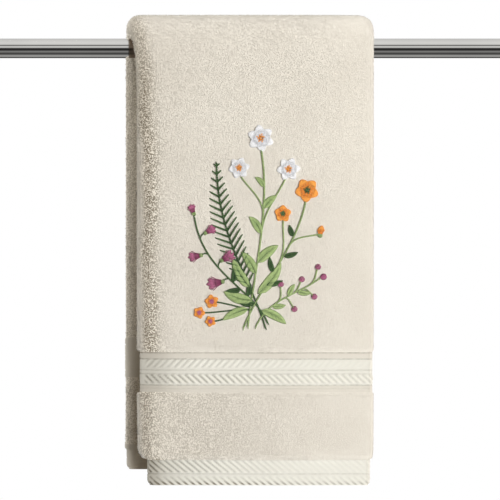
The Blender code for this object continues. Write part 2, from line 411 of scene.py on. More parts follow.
# at is a level below the rod's centre or an angle round it, left and right are the folds' outermost lines,
# stack is how thick the folded panel is, and a roll is how wide the rounding of a fold is
Fold = namedtuple("Fold", "at left right stack left_roll right_roll")
FRONT = rows_of(
    Fold,
    (0.0, -95.1, 101.2, 19.3, 17.0, 3.6),
    (-7.0, -94.1, 101.2, 19.3, 19.0, 3.6),
    (-17.0, -93.4, 101.2, 19.0, 22.0, 3.6),
    (-35.0, -92.8, 101.2, 18.6, 24.0, 3.6),
    (-90.0, -92.8, 101.2, 18.0, 27.0, 3.6),
    (-180.0, -92.8, 101.2, 17.0, 27.0, 3.6),
    (-247.2, -92.8, 101.2, 16.1, 26.0, 3.6),
    (-248.0, -91.6, 101.4, 16.1, 26.0, 3.6),
    (-280.4, -91.6, 101.4, 15.8, 24.0, 3.6),
    (-281.6, -92.8, 101.2, 15.8, 24.0, 3.6),
    (-327.0, -92.2, 101.0, 15.2, 16.0, 3.6),
    (-331.0, -91.2, 100.8, 14.7, 15.0, 3.6),
    (-333.5, -89.2, 100.4, 14.2, 13.0, 3.6),
    (-335.9, -85.6, 99.6, 12.4, 9.5, 3.6),
    (-352.3, -85.6, 99.4, 12.2, 8.7, 3.6),
    (-354.4, -85.0, 99.0, 12.2, 8.6, 3.6),
    (-355.5, -83.6, 98.0, 12.2, 8.5, 3.6),
)
REAR = rows_of(
    Fold,
    (0.0, -103.7, 100.8, 19.3, 15.0, 15.0),
    (-90.0, -103.7, 100.8, 18.0, 18.0, 18.0),
    (-236.4, -103.7, 100.8, 16.4, 17.0, 17.0),
    (-238.2, -105.4, 101.6, 16.4, 17.0, 17.0),
    (-270.0, -105.4, 101.6, 16.0, 16.0, 16.0),
    (-271.8, -103.7, 100.8, 16.0, 16.0, 16.0),
    (-323.6, -103.9, 100.6, 14.4, 11.0, 11.0),
    (-325.4, -105.7, 101.0, 13.4, 9.0, 9.0),
    (-328.8, -105.4, 100.8, 12.6, 7.5, 7.5),
    (-330.2, -104.1, 100.4, 12.4, 7.0, 7.0),
    (-342.1, -104.0, 100.4, 12.2, 6.5, 6.5),
    (-344.2, -103.4, 99.8, 12.2, 6.5, 6.5),
    (-345.3, -102.0, 98.8, 12.2, 6.5, 6.5),
)
ARCH = rows_of(
    Fold,
    (0.0, -95.1, 101.2, 19.3, 17.0, 3.6),
    (13.0, -95.8, 101.4, 19.3, 15.0, 3.6),
    (25.0, -97.1, 101.4, 19.3, 13.0, 4.5),
    (45.0, -99.5, 101.4, 19.3, 11.0, 8.5),
    (90.0, -101.7, 100.8, 19.3, 10.0, 13.0),
    (180.0, -103.7, 100.8, 19.3, 15.0, 15.0),
)


def read_fold(table, at):
    """The folded panel at a level or an angle, between the two rows of the table on either side of it."""
    rows = sorted(table)
    at = min(max(at, rows[0].at), rows[-1].at)
    for low, high in zip(rows, rows[1:]):
        if at <= high.at:
            break
    share = (at - low.at) / (high.at - low.at)
    return Fold(*(a + (b - a) * share for a, b in zip(low, high)))


# %% [markdown]
# Creases are listed one by one. Each is a soft trough or ridge: a centre, how far it reaches across and
# down, and how far it stands out of the plane of the cloth. They are those of the solid, as the panel
# shows no sharper crease.

# %% Creases
Swell = namedtuple("Swell", "x level wide tall out")
FRONT_SWELLS = rows_of(
    Swell,
    (10.0, -70.0, 34.0, 60.0, 0.9),
    (-52.0, -215.0, 30.0, 60.0, -0.8),
    (22.0, -300.0, 42.0, 70.0, 2.0),
    (-58.0, -315.0, 28.0, 50.0, -1.2),
    (72.0, -310.0, 24.0, 60.0, -0.9),
)
REAR_SWELLS = rows_of(
    Swell,
    (-30.0, -150.0, 38.0, 80.0, 1.2),
    (45.0, -290.0, 34.0, 70.0, -1.0),
    (-45.0, -310.0, 34.0, 60.0, 1.0),
)


def swell(swells, x, level):
    """How far a drop stands out of its plane, in mm."""
    return sum(
        s.out * np.exp(-(((x - s.x) / s.wide) ** 2) - ((level - s.level) / s.tall) ** 2) for s in swells
    )


# %% [markdown]
# One cut across the folded panel is a closed ring. Its outer side runs from the edge of the left flap,
# round the left fold, along the panel and round the right fold to the edge of the right flap. Its inner
# side runs back through the hollow. The ring is laid out as runs of evenly spaced columns, so that every
# cut has the same columns and the loft between two cuts is a plain grid. In the woven bands the columns
# of the front are four times as close.

# %% One cut across the cloth
FINE = 4  # how many columns of a woven band stand on one column of the pile
Run = namedtuple("Run", "columns fine")
FLAP, BACK_ROLL, FRONT_ROLL, PANEL = Run(10, 1), Run(5, 1), Run(6, FINE), Run(62, FINE)
SELVAGE, INNER_FLAP, HOLLOW, UNDERSIDE = Run(3, 1), Run(7, 1), Run(8, 1), Run(18, 1)
SELVAGE_BULGE = 0.6  # how far the edge of the cloth is rounded out, as a share of half its thickness
OUTER_RUNS = (FLAP, BACK_ROLL, FRONT_ROLL, PANEL, FRONT_ROLL, BACK_ROLL, FLAP)
OUTER_START = FLAP.columns + BACK_ROLL.columns  # where the panel's own side begins in a ring
OUTER_COLUMNS = 2 * FRONT_ROLL.columns + PANEL.columns
PANEL_PLACE = OUTER_RUNS.index(PANEL)  # the runs of the front's folds are those on either side of it
INNER_RUNS = (SELVAGE, INNER_FLAP, HOLLOW, UNDERSIDE, HOLLOW, INNER_FLAP, SELVAGE)


def steps(run, woven):
    """Shares of a run at which its columns stand, without its far end."""
    count = run.columns * (run.fine if woven else 1)
    return np.arange(count) / count


def cut(fold, sunk, trim, woven, left_edge=MIDDLE_EDGE):
    """x and out of each column of one ring in mm, and the distance across the cloth from x = 0.

    sunk is how far the surface lies inside the tips of the pile, and trim thins the cloth at its hem.
    """
    cloth = PILE_CLOTH - 2 * sunk - 2 * trim
    left, right = fold.left + sunk, fold.right - sunk
    left_roll, right_roll = fold.left_roll, fold.right_roll
    middle = fold.stack / 2
    half = middle - sunk - trim
    edge = (left_edge - MIDDLE_EDGE) * 2 * half
    reach = min(FLAP_WIDTH - sunk, (right - left) / 2 - HALF_SLIT)
    hollow = half - cloth
    xs, outs = [], []

    def straight(run, x0, x1, out):
        t = steps(run, woven)
        xs.append(x0 + (x1 - x0) * t)
        outs.append(np.full(len(t), out))

    def bend(run, x, out, wide, deep, start, end):
        """Part of an ellipse. The angle is 0 at the front, 90 outward and 180 at the back."""
        turn = np.radians(start + (end - start) * steps(run, woven))
        xs.append(x + wide * np.sin(turn))
        outs.append(out + deep * np.cos(turn))

    straight(FLAP, left + reach, left + left_roll, middle - half)
    bend(BACK_ROLL, left + left_roll, middle + edge, -left_roll, half + edge, 180, 90)
    bend(FRONT_ROLL, left + left_roll, middle + edge, -left_roll, half - edge, 90, 0)
    straight(PANEL, left + left_roll, right - right_roll, middle + half)
    bend(FRONT_ROLL, right - right_roll, middle, right_roll, half, 0, 90)
    bend(BACK_ROLL, right - right_roll, middle, right_roll, half, 90, 180)
    straight(FLAP, right - right_roll, right - reach, middle - half)
    bend(SELVAGE, right - reach, middle - half + cloth / 2, -cloth / 2 * SELVAGE_BULGE, cloth / 2, 180, 0)
    straight(INNER_FLAP, right - reach, right - right_roll, middle - half + cloth)
    bend(HOLLOW, right - right_roll, middle, right_roll - cloth, hollow, 180, 0)
    straight(UNDERSIDE, right - right_roll, left + left_roll, middle + hollow)
    bend(HOLLOW, left + left_roll, middle, cloth - left_roll, hollow, 0, 180)
    straight(INNER_FLAP, left + left_roll, left + reach, middle - half + cloth)
    bend(SELVAGE, left + reach, middle - half + cloth / 2, cloth / 2 * SELVAGE_BULGE, cloth / 2, 0, 180)
    x, out = np.concatenate(xs), np.concatenate(outs)
    across = np.concatenate(([0.0], np.cumsum(np.hypot(np.diff(x), np.diff(out)))))
    panel_start = sum(len(run) for run in xs[:PANEL_PLACE])
    return x, out, across - across[panel_start] + x[panel_start]


# %% [markdown]
# A cut is then set in space. In a drop it lies level, and in the arch it is turned round the rod. Each
# level knows what it is woven as: pile, or flat band. A small table gives the levels of the woven end,
# from the edge of the hem up, and a flat band also has a few grooves where the weaver changed the
# pattern.

# %% The levels of the cloth
# Above counts mm up from the solid's edge, which the rounded edge of the hem passes by a little. Woven is
# 1 for flat weave and 0 for pile.
HEM_EDGE = ((-0.9, 1, 1.0), (-0.65, 1, 0.62), (-0.25, 1, 0.28), (0.3, 1, 0.06))  # (above, woven, trim)
HEM_START, HEM_TOP, FOOT_TOP, BORDER_TOP = 1.0, 20.0, 75.0, 107.6
BAND_STEP, PILE_STEP = 0.82, 3.6
EDGE_GAP = 1.7  # the last row of pile stands this far from a flat band
ARCH_ROWS = 26

Groove = namedtuple("Groove", "above deep wide shade")  # shade is how dark the painted shade of its row of small holes is
GROOVES = rows_of(
    Groove,
    (8.6, 0.5, 0.8, 0.5), (19.8, 0.3, 0.7, 0.5), (78.0, 0.25, 0.7, 0.25), (80.8, 0.6, 0.7, 0.9),
    (89.9, 0.35, 0.7, 0.5), (92.9, 0.4, 0.6, 0.6), (101.9, 0.7, 0.8, 1.0), (107.0, 0.4, 0.7, 1.0),
)
PLAIN_STRIPS = ((75.0, 80.6), (102.3, 108.0))  # between these levels the flat band has the tone of the pile


def spread(low, high, step):
    """Levels from low to high, both included, about a step apart."""
    return list(np.linspace(low, high, max(2, round((high - low) / step) + 1)))


def band_levels(low, high):
    """The levels of a flat band. The one nearest to each groove is moved to the groove's bottom."""
    levels = spread(low, high, BAND_STEP)
    for groove in GROOVES:
        if low < groove.above < high:
            levels[int(np.argmin(np.abs(np.array(levels) - groove.above)))] = groove.above
    return levels


def woven_levels(drop):
    """(above, woven, trim) of each cut of one drop, from the edge of its hem up to the rod."""
    parts = (
        (1, band_levels(HEM_START, HEM_TOP)),
        (0, spread(HEM_TOP + EDGE_GAP, FOOT_TOP - EDGE_GAP, PILE_STEP)),
        (1, band_levels(FOOT_TOP, BORDER_TOP)),
        (0, spread(BORDER_TOP + EDGE_GAP, drop - PILE_STEP, PILE_STEP)),
    )
    return list(HEM_EDGE) + [(above, woven, 0.0) for woven, levels in parts for above in levels]


def grooved(above, kind="deep"):
    """How deep the grooves are at a level, or how dark their painted shade is."""
    return sum(getattr(g, kind) * math.exp(-(((above - g.above) / (g.wide / 2)) ** 2)) for g in GROOVES)


Row = namedtuple("Row", "points woven above along across warp")  # warp is the way along the cloth


def drop_row(table, swells, side, drop, above, woven, trim):
    """One level cut of a drop. side is -1 in front of the rod and 1 behind it."""
    level = above - drop
    fold = read_fold(table, level)
    left_edge = LEFT_EDGE if side < 0 else MIDDLE_EDGE
    x, out, across = cut(fold, FLAT_SUNK if woven else GROUND_SUNK, trim, woven, left_edge)
    if woven:  # a groove is pressed into the outer side alone
        pressed = cut(fold, FLAT_SUNK + grooved(above), trim, woven, left_edge)
        outer = slice(OUTER_START, OUTER_START + OUTER_COLUMNS * FINE)
        x[outer], out[outer] = pressed[0][outer], pressed[1][outer]
    y = side * (BEND_RADIUS + out + swell(swells, x, level))
    along = above if side < 0 else FRONT_DROP + ARCH_LENGTH + drop - above
    points = np.stack([x + MIDDLE, y, np.full(len(x), level)], 1)
    return Row(points, woven, above, along, across, (0, 0, -side))


def arch_row(degrees):
    """One cut of the cloth where it bends over the rod."""
    turn = math.radians(degrees)
    left_edge = LEFT_EDGE + (MIDDLE_EDGE - LEFT_EDGE) * degrees / 180
    x, out, across = cut(read_fold(ARCH, degrees), GROUND_SUNK, 0.0, False, left_edge)
    radius = BEND_RADIUS + out
    along = FRONT_DROP + ARCH_LENGTH * degrees / 180
    points = np.stack([x + MIDDLE, -radius * math.cos(turn), radius * math.sin(turn)], 1)
    return Row(points, 0, FRONT_DROP, along, across, (0, math.sin(turn), math.cos(turn)))


ARCH_LENGTH = math.pi * (BEND_RADIUS + FRONT[0].stack)
ARCH_END = FRONT_DROP + ARCH_LENGTH


def cloth_rows():
    """Every cut, from the edge of the front hem over the rod to the edge of the rear one."""
    front = [drop_row(FRONT, FRONT_SWELLS, -1, FRONT_DROP, *row) for row in woven_levels(FRONT_DROP)]
    arch = [arch_row(180 * step / ARCH_ROWS) for step in range(ARCH_ROWS + 1)]
    rear = [drop_row(REAR, REAR_SWELLS, 1, REAR_DROP, *row) for row in woven_levels(REAR_DROP)]
    return front + arch + rear[::-1]


rows = cloth_rows()
columns = sorted({len(row.points) for row in rows})
print(f"{len(rows)} cuts, {columns[1]} columns in a band and {columns[0]} in the pile")

# %% [markdown]
# The loft joins each cut to the next. Where both have the same columns this is a ring of quads. Where
# pile meets a flat band, one wide face takes the four fine columns of the band on one side. The loft
# carries a UV map in metres of cloth, and marks on its points, which the steps after this one read: how
# far up and across the cloth a point is, and whether flat weave, loops or ribs stand there. Three marks
# are for the eye. Where the pile bends round the front's left fold, the shade between its loops is
# painted into the colour as dark specks, with a little painted light. The side of the rear drop that
# faces the rod gets some of it too. The pile is calm at the right, where it lies flat. And dusk, a
# darker and browner colour, is painted at the rims of the front's folds and on the rear drop in the gap
# beside the front's left fold, more toward its foot, where light goes from cotton to cotton and grows
# brown, which a few bounces would lose.

# %% The marks of the cloth
MARKS = (
    "above", "along", "across", "flat", "looped", "ribbed", "groove", "strip", "trough",
    "open", "calm", "dusk",
)
FLAP_LOOPS = 0.12  # the share of its loops that a flap gets, as it faces the rod
REAR_LOOPS = 0.25  # the same for the rear drop
PLAIN_EDGE = (0.34, 0.44)  # the shares of the left fold's front between which its ribs begin
# How much fold shading is painted at the front's left fold, as (mm from the fold's rim, how much)
FOLD_SHADING = ((3.0, 0.0), (6.5, 1.0), (13.0, 1.05), (17.0, 0.42), (24.0, 0.14), (46.0, 0.0))
FOOT_FOLD_SHADING = (
    (1.5, 0.0), (4.0, 0.75), (12.0, 0.7), (22.0, 0.42), (58.0, 0.34), (105.0, 0.1), (160.0, 0.0),
)
BORDER_FOLD_SHADING = ((0.0, 1.2), (12.0, 0.95), (28.0, 0.28), (50.0, 0.0))
HEM_FOLD_SHADING = ((0.0, 2.0), (6.0, 1.7), (14.0, 0.75), (30.0, 0.25), (60.0, 0.0))
# How much of it there is toward the rod and over it, as (mm along the cloth, share)
FOLD_SHADING_UP = (
    (FRONT_DROP - 50, 1.0), (FRONT_DROP, 0.62), (FRONT_DROP + ARCH_LENGTH / 2, 0.3), (ARCH_END, 0.0),
)
FOLD_SHADING_OUT = ((FRONT_DROP - 130, 0.0), (FRONT_DROP - 50, 3.0))  # (mm along, mm nearer to the rim)
WANDERS = ((0.9, 23.0), (0.6, 9.1))  # (mm, run) of the waves in which the painted fold shading wanders
REAR_FOLD_SHADING = 0.5  # how much fold shading is painted on the side of the rear drop that faces the rod
RIGHT_DUSK = 0.42  # painted dusk at the rim of the right fold
LEFT_DUSK = ((1.2, 0.0), (4.0, 0.20), (7.5, 0.32), (11.5, 0.08), (14.0, 0.0))  # (mm from the left rim, painted dusk)
DUSK_ACROSS = ((-104.0, 0.0), (-93.0, 1.0), (-80.0, 1.0), (-40.0, 0.0))  # (x, painted dusk) on the rear drop
DUSK_DOWN = ((-330.0, 1.0), (-60.0, 0.0))  # (level, share) on it
DUSK_DEPTH = 4.0  # over how many mm of the rear drop's thickness the painted dusk fades
CALM_START = (45.0, 85.0)  # right of the rod's middle, where the pile begins to lie flat


def between(table, at):
    """A table's value at a place, between the rows on either side of it."""
    return np.interp(at, *zip(*table))


def rise(value, start, end):
    """0 up to start, 1 from end on, and straight between them."""
    return np.clip((value - start) / (end - start), 0, 1)


def fold_shading_table(row):
    """The table of how much fold shading is painted at the front's left fold on a row."""
    if row.woven:
        return HEM_FOLD_SHADING if row.above < HEM_TOP else BORDER_FOLD_SHADING
    return FOOT_FOLD_SHADING if row.above < FOOT_TOP else FOLD_SHADING


def marks(row):
    """The values of every mark along one ring."""
    looped, ribbed, outer, right_bend = [], [], [], []
    for place, run in enumerate(OUTER_RUNS + INNER_RUNS):
        shares = steps(run, row.woven)
        count = len(shares)
        share = 0.0 if place >= len(OUTER_RUNS) else FLAP_LOOPS if run is FLAP else 1.0
        looped += [0.0 if row.woven else share] * count
        ribs = np.full(count, float(row.woven and run.fine == FINE))
        ribbed += list(ribs * rise(shares, *PLAIN_EDGE) if place == PANEL_PLACE - 1 else ribs)
        outer += [float(run.fine == FINE)] * count
        right_bend += list(np.sqrt(shares) * (place == PANEL_PLACE + 1))
    outer = np.array(outer)
    behind = np.clip((row.along - FRONT_DROP) / ARCH_LENGTH - 0.5, 0, 0.5) * 2
    looped = np.array(looped) * (1 - behind * (1 - REAR_LOOPS))
    x, y, level = row.points.T
    rim = x - x.min()
    # painted fold shading: how much painted shade and light go into the colour near the front's left fold
    shift = between(FOLD_SHADING_OUT, row.along) + sum(size * math.sin(row.along / run) for size, run in WANDERS)
    fold_shading_share = between(fold_shading_table(row), rim + shift * (1 - row.woven)) * outer
    fold_shading_share *= between(FOLD_SHADING_UP, row.along)
    fold_shading_share += REAR_FOLD_SHADING * (1 - outer) * (row.along > ARCH_END)
    # painted dusk: darker and browner on the rear drop's side toward the rod, more toward its foot, and at
    # the rims of the front's folds
    near_rod = np.clip((y.mean() - y) / DUSK_DEPTH + 0.5, 0, 1)
    dusk = between(DUSK_ACROSS, x - MIDDLE) * between(DUSK_DOWN, level)
    dusk *= near_rod * (row.along > ARCH_END)
    left_bend = between(LEFT_DUSK, rim) * outer * (1 - row.woven)
    left_bend *= between(FOLD_SHADING_UP, row.along)
    dusk += (left_bend + RIGHT_DUSK * np.array(right_bend)) * (row.along < ARCH_END)
    plain = float(any(low <= row.above <= high for low, high in PLAIN_STRIPS))
    even = {"above": row.above, "along": row.along, "flat": float(row.woven), "trough": 0.0}
    columns = {name: [value] * len(x) for name, value in even.items()}
    columns |= {"across": row.across, "looped": looped, "ribbed": ribbed, "open": fold_shading_share}
    columns |= {"calm": rise(x - MIDDLE, *CALM_START) * (y < 0), "dusk": dusk}
    columns |= {"groove": outer * grooved(row.above, "shade") * row.woven}
    columns |= {"strip": np.maximum(plain, 1 - outer)}
    return zip(*(columns[name] for name in MARKS))


# %% The loft
def column_starts(woven):
    """The place in a ring of each coarse column, with the ring's length at the end."""
    starts = [0]
    for run in OUTER_RUNS + INNER_RUNS:
        wide = run.fine if woven else 1
        starts += [starts[-1] + wide * (column + 1) for column in range(run.columns)]
    return starts


def joined(ring, following, woven, next_woven):
    """The faces between two rings of points."""
    here, there = column_starts(woven), column_starts(next_woven)
    for column in range(len(here) - 1):
        low = [ring[k % len(ring)] for k in range(here[column], here[column + 1] + 1)]
        high = [following[k % len(following)] for k in range(there[column], there[column + 1] + 1)]
        if len(low) == len(high):
            for a, b, c, d in zip(low, low[1:], high[1:], high):
                yield (a, b, c, d)
        else:
            yield tuple(low + high[::-1])


def make_cloth(rows):
    """The cloth as one closed mesh, with its marks, its UV map and the way of its warp."""
    mesh = bmesh.new()
    layers = [mesh.verts.layers.float.new(mark) for mark in MARKS]
    along, across = (layers[MARKS.index(mark)] for mark in ("along", "across"))
    warp = mesh.verts.layers.float_vector.new("warp")
    rings = []
    for row in rows:
        ring = [mesh.verts.new(point * MM) for point in row.points]
        for vert, values in zip(ring, marks(row)):
            for layer, value in zip(layers, values):
                vert[layer] = value
            vert[warp] = row.warp
        rings.append(ring)
    for k in range(len(rows) - 1):
        for corners in joined(rings[k], rings[k + 1], rows[k].woven, rows[k + 1].woven):
            mesh.faces.new(corners)
    ends = [mesh.faces.new(rings[0]), mesh.faces.new(rings[-1])]
    bmesh.ops.recalc_face_normals(mesh, faces=mesh.faces)
    bmesh.ops.triangulate(mesh, faces=ends)
    uv = mesh.loops.layers.uv.new("cloth")
    for face in mesh.faces:
        for loop in face.loops:
            loop[uv].uv = (loop.vert[across] * MM, loop.vert[along] * MM)
    return new_piece("terry_cloth", mesh, sharp=70.0)


def triangles(piece):
    return sum(len(polygon.vertices) - 2 for polygon in piece.data.polygons)


cloth = make_cloth(rows)
print(f"terry_cloth: {triangles(cloth)} triangles before its ribs")

# %% [markdown]
# Terry is beige yarn seen through its own shade. A tint group mixes two near tones in soft patches and in
# fine specks, and the pile, the flat weave and the threads all use it with their own colours.

# %% The tint of yarn
PATCH_SCALE, SPECK_SCALE = 26.0, 900.0
YARN_DRAWN = (1.0, 1.0, 0.35)  # specks are longer down the cloth


def new_tree(name, kind, inputs, outputs):
    """A node tree with named inputs and outputs, and its input node."""
    tree = bpy.data.node_groups.new(name, kind)
    for way, sockets in (("INPUT", inputs), ("OUTPUT", outputs)):
        for label, socket in sockets.items():
            tree.interface.new_socket(label, in_out=way, socket_type="NodeSocket" + socket)
    return tree, add(tree, "NodeGroupInput").outputs


def make_yarn_tint():
    """Two tones mixed in patches, which change slowly, and in fine specks."""
    inputs = {"Vector": "Vector", "Light": "Color", "Deep": "Color", "Patch": "Float", "Speck": "Float"}
    tree, given = new_tree("yarn_tint", "ShaderNodeTree", inputs, {"Color": "Color"})
    patches = noise(tree, given["Vector"], PATCH_SCALE, 3.0)
    drawn = vector_node(tree, "MULTIPLY", {0: given["Vector"], 1: YARN_DRAWN})
    specks = noise(tree, drawn, SPECK_SCALE, 2.0)
    patch = times(tree, math_node(tree, "SUBTRACT", patches, 0.5), given["Patch"])
    speck = times(tree, math_node(tree, "SUBTRACT", specks, 0.5), given["Speck"])
    share = math_node(tree, "ADD", math_node(tree, "ADD", patch, speck), 0.5)
    add(tree, "NodeGroupOutput", {0: mix_colour(tree, share, given["Light"], given["Deep"])})
    return tree


yarn_tint = make_yarn_tint()


def tinted(tree, vector, light, deep, patch, speck):
    """Yarn between a light and a deep tone. patch and speck say how strongly it varies."""
    inputs = {"Vector": vector, "Light": light, "Deep": deep, "Patch": patch, "Speck": speck}
    return result(tree, "ShaderNodeGroup", inputs, node_tree=yarn_tint)


print(f"yarn tint: {len(yarn_tint.nodes)} nodes")

# %% [markdown]
# The ground of the pile and the flat weave are two materials on one mesh. Both are rough and matt, and
# both read the cloth's marks: painted specks of shade and a little painted light where a fold opens the
# pile, and painted brown dusk at the rims of the folds and beside the front's left fold. The weave also
# has painted shade along its rows of holes, in the troughs between its ribs, in the notches at the very
# edge of the hem and at its left ends by the fold, and painted light on the crests. The hem is a little
# whiter than the border.

# %% What cloth materials share
# the tints of painted dusk, painted shade and painted light
DUSK_TINT = (0.48, 0.42, 0.35, 1)
SHADE_TINT = (0.35, 0.32, 0.27, 1)
LIT_TINT = (1.15, 1.145, 1.13, 1)  # painted light, on the tips of the pile where a fold opens it and on the crests of ribs
OPEN_SPECKS = (0.42, 0.56)  # the heights of the noise between which a speck of painted shade grows
OPEN_SHADE = 0.9  # how dark the painted specks of shade are
COTTON_SPREAD = 1.0  # rough fibres send light back more evenly than a matt wall does


def painted(tree, name, output="Fac"):
    """A mark on the mesh, as a shader reads it."""
    return add(tree, "ShaderNodeAttribute", attribute_name=name).outputs[output]


def paint_fold_shading(tree, place):
    """How much fold shading is painted, which is 0 away from a fold, and how dark it makes the colour, which
    is painted specks of shade on the fold.
    """
    fold_shading_share = painted(tree, "open")
    specks = ranged(tree, noise(tree, place, SPECK_SCALE, 0.0), *OPEN_SPECKS)
    return fold_shading_share, times(tree, fold_shading_share, specks, OPEN_SHADE)


def finish_cloth(tree, shader, colour, lit, dark, inputs):
    """Paints light and shade into a colour by two shares, paints brown dusk into it, and sets the shader's
    inputs.
    """
    colour = mix_colour(tree, lit, colour, LIT_TINT, "MULTIPLY")
    colour = mix_colour(tree, dark, colour, SHADE_TINT, "MULTIPLY")
    colour = mix_colour(tree, painted(tree, "dusk"), colour, DUSK_TINT, "MULTIPLY")
    feed(tree, shader, {"Base Color": colour, "Diffuse Roughness": COTTON_SPREAD} | inputs)


# %% The ground of the pile
PILE_LIGHT, PILE_DEEP = (0.80, 0.770, 0.710, 1), (0.71, 0.672, 0.610, 1)

ground, tree, shader = new_material("terry_ground")
place = add(tree, "ShaderNodeTexCoord").outputs["Object"]
colour = tinted(tree, place, PILE_LIGHT, PILE_DEEP, 0.8, 1.0)
fold_shading_share, dark = paint_fold_shading(tree, place)
relief = bumped(tree, noise(tree, place, 1100.0, 2.0), 0.25, 0.0012)
finish_cloth(tree, shader, colour, fold_shading_share, dark, {"Normal": relief, "Roughness": 0.95})
cloth.data.materials.append(ground)

# %% The flat weave
FLAT_LIGHT, FLAT_DEEP = (0.765, 0.756, 0.704, 1), (0.725, 0.711, 0.658, 1)
STRIP_LIGHT, STRIP_DEEP = (0.730, 0.700, 0.640, 1), (0.670, 0.635, 0.575, 1)
HEM_WHITENING = 0.04  # how much of a whiter tone the hem has
WHITER_TONE = grey(0.93)
HOLE_SCALE = 330.0
HOLE_SHADE, TROUGH_SHADE = 0.55, 0.46  # how much painted shade the rows of holes and the troughs get
TROUGH_POWER = 1.5  # the painted shade of a trough is darkest at its bottom
CREST_LIGHT = 3.2  # how fast the painted light on the crest of a rib grows
NOTCH_SHADE, NOTCH_FOOT, NOTCH_TOP = 1.4, 0.4, 3.2  # the painted shade of the notches fades between these heights
END_SHADE = 0.34  # how much painted shade the left ends get where a fold opens them

weave, tree, shader = new_material("flat_weave")
place = add(tree, "ShaderNodeTexCoord").outputs["Object"]
cloth_place = result(tree, "ShaderNodeUVMap", uv_map="cloth")
colour = tinted(tree, place, FLAT_LIGHT, FLAT_DEEP, 0.8, 0.5)
plain = tinted(tree, place, STRIP_LIGHT, STRIP_DEEP, 0.8, 0.8)
strip, groove, trough, above, fold_shading_share = (
    painted(tree, name) for name in ("strip", "groove", "trough", "above", "open")
)
colour = mix_colour(tree, strip, colour, plain)
hem = times(tree, math_node(tree, "LESS_THAN", above, HEM_TOP), HEM_WHITENING)
colour = mix_colour(tree, hem, colour, WHITER_TONE)

holes = ranged(tree, noise(tree, cloth_place, HOLE_SCALE, 1.0), 0.35, 0.65, 0.45, 1.0)
notch = ranged(tree, above, NOTCH_FOOT, NOTCH_TOP, 1.0, 0.0)
crest = times(tree, math_node(tree, "MAXIMUM", times(tree, trough, -1.0), 0.0), CREST_LIGHT)
trough = math_node(tree, "MAXIMUM", trough, 0.0)  # it is below 0 on a crest
deep = math_node(tree, "POWER", trough, TROUGH_POWER)
# painted shade: rows of holes, troughs, notches and the left ends by the fold; painted light on crests
dark = times(tree, groove, holes, HOLE_SHADE)
for share, shade in ((deep, TROUGH_SHADE), (times(tree, trough, notch), NOTCH_SHADE), (fold_shading_share, END_SHADE)):
    dark = math_node(tree, "MULTIPLY_ADD", share, shade, dark)
picks = {"Vector": cloth_place, "Scale": 240.0, "Distortion": 0.6}
picks = add(tree, "ShaderNodeTexWave", picks, bands_direction="Y").outputs["Fac"]
relief = bumped(tree, picks, 0.25, 0.0003)
finish_cloth(tree, shader, colour, crest, dark, {"Normal": relief, "Roughness": 0.85})
print(f"flat weave: {len(tree.nodes)} nodes")

# %% [markdown]
# The slanting ribs of the bands repeat by a rule, so Geometry Nodes raise them. The tree reads a point's
# marks, turns its distance across and up the cloth into a row of round cords, keeps them between two
# levels, and moves the point along its normal. Toward the right the cloth is pulled flatter and the ribs
# sink. The tree also notes how deep in a trough the point lies, or below 0 how high on a crest, and the
# weave paints shade into a trough and light onto a crest by it. One tree serves all four bands of each
# woven end, with its own pitch, slant and height for each.

# %% Helpers for Geometry Nodes
def new_modifier_tree(name, inputs):
    """A Geometry Nodes tree that takes and gives a mesh, and its input node."""
    shape = {"Geometry": "Geometry"}
    tree, given = new_tree(name, "GeometryNodeTree", shape | inputs, shape)
    tree.is_modifier = True
    return tree, given


def mark(tree, name, kind="FLOAT"):
    """A mark on the cloth's points, as a field."""
    return result(tree, "GeometryNodeInputNamedAttribute", {"Name": name}, data_type=kind)


def store(tree, geometry, name, value, kind="FLOAT", domain="POINT"):
    """The geometry with a value kept on it as a mark."""
    inputs = {"Geometry": geometry, "Name": name, "Value": value}
    return result(tree, "GeometryNodeStoreNamedAttribute", inputs, data_type=kind, domain=domain)


def end_tree(tree, geometry, material, selection=True):
    """Makes instances real, sets a material on the selected faces, and ends the tree."""
    real = result(tree, "GeometryNodeRealizeInstances", {"Geometry": geometry})
    inputs = {"Geometry": real, "Selection": selection, "Material": material}
    add(tree, "NodeGroupOutput", {0: result(tree, "GeometryNodeSetMaterial", inputs)})


def run_tree(piece, tree, values):
    """The mesh that a tree makes of a piece. Its inputs are set by their sockets' identifiers."""
    modifier = piece.modifiers.new(tree.name, "NODES")
    modifier.node_group = tree
    for socket in tree.interface.items_tree:
        if socket.in_out == "INPUT" and socket.name in values:
            modifier[socket.identifier] = values[socket.name]
    bpy.context.view_layer.update()
    made = bpy.data.meshes.new_from_object(piece.evaluated_get(bpy.context.evaluated_depsgraph_get()))
    piece.modifiers.remove(modifier)
    return made


# %% The tree that raises ribs
RIB_TOP, RIB_FOOT = 0.75, -1.25  # where a rib's top and foot lie, as shares of half its height
USUAL_HEIGHT = 1.4  # a rib of this height, in mm, has the full painted shade beside it, and a higher one has more
CREST_START = 0.8  # how high on a rib its crest of painted light begins, as a share of its height
WOVEN_SHARE = 0.99  # a face takes the weave if it lies in a band at least this much


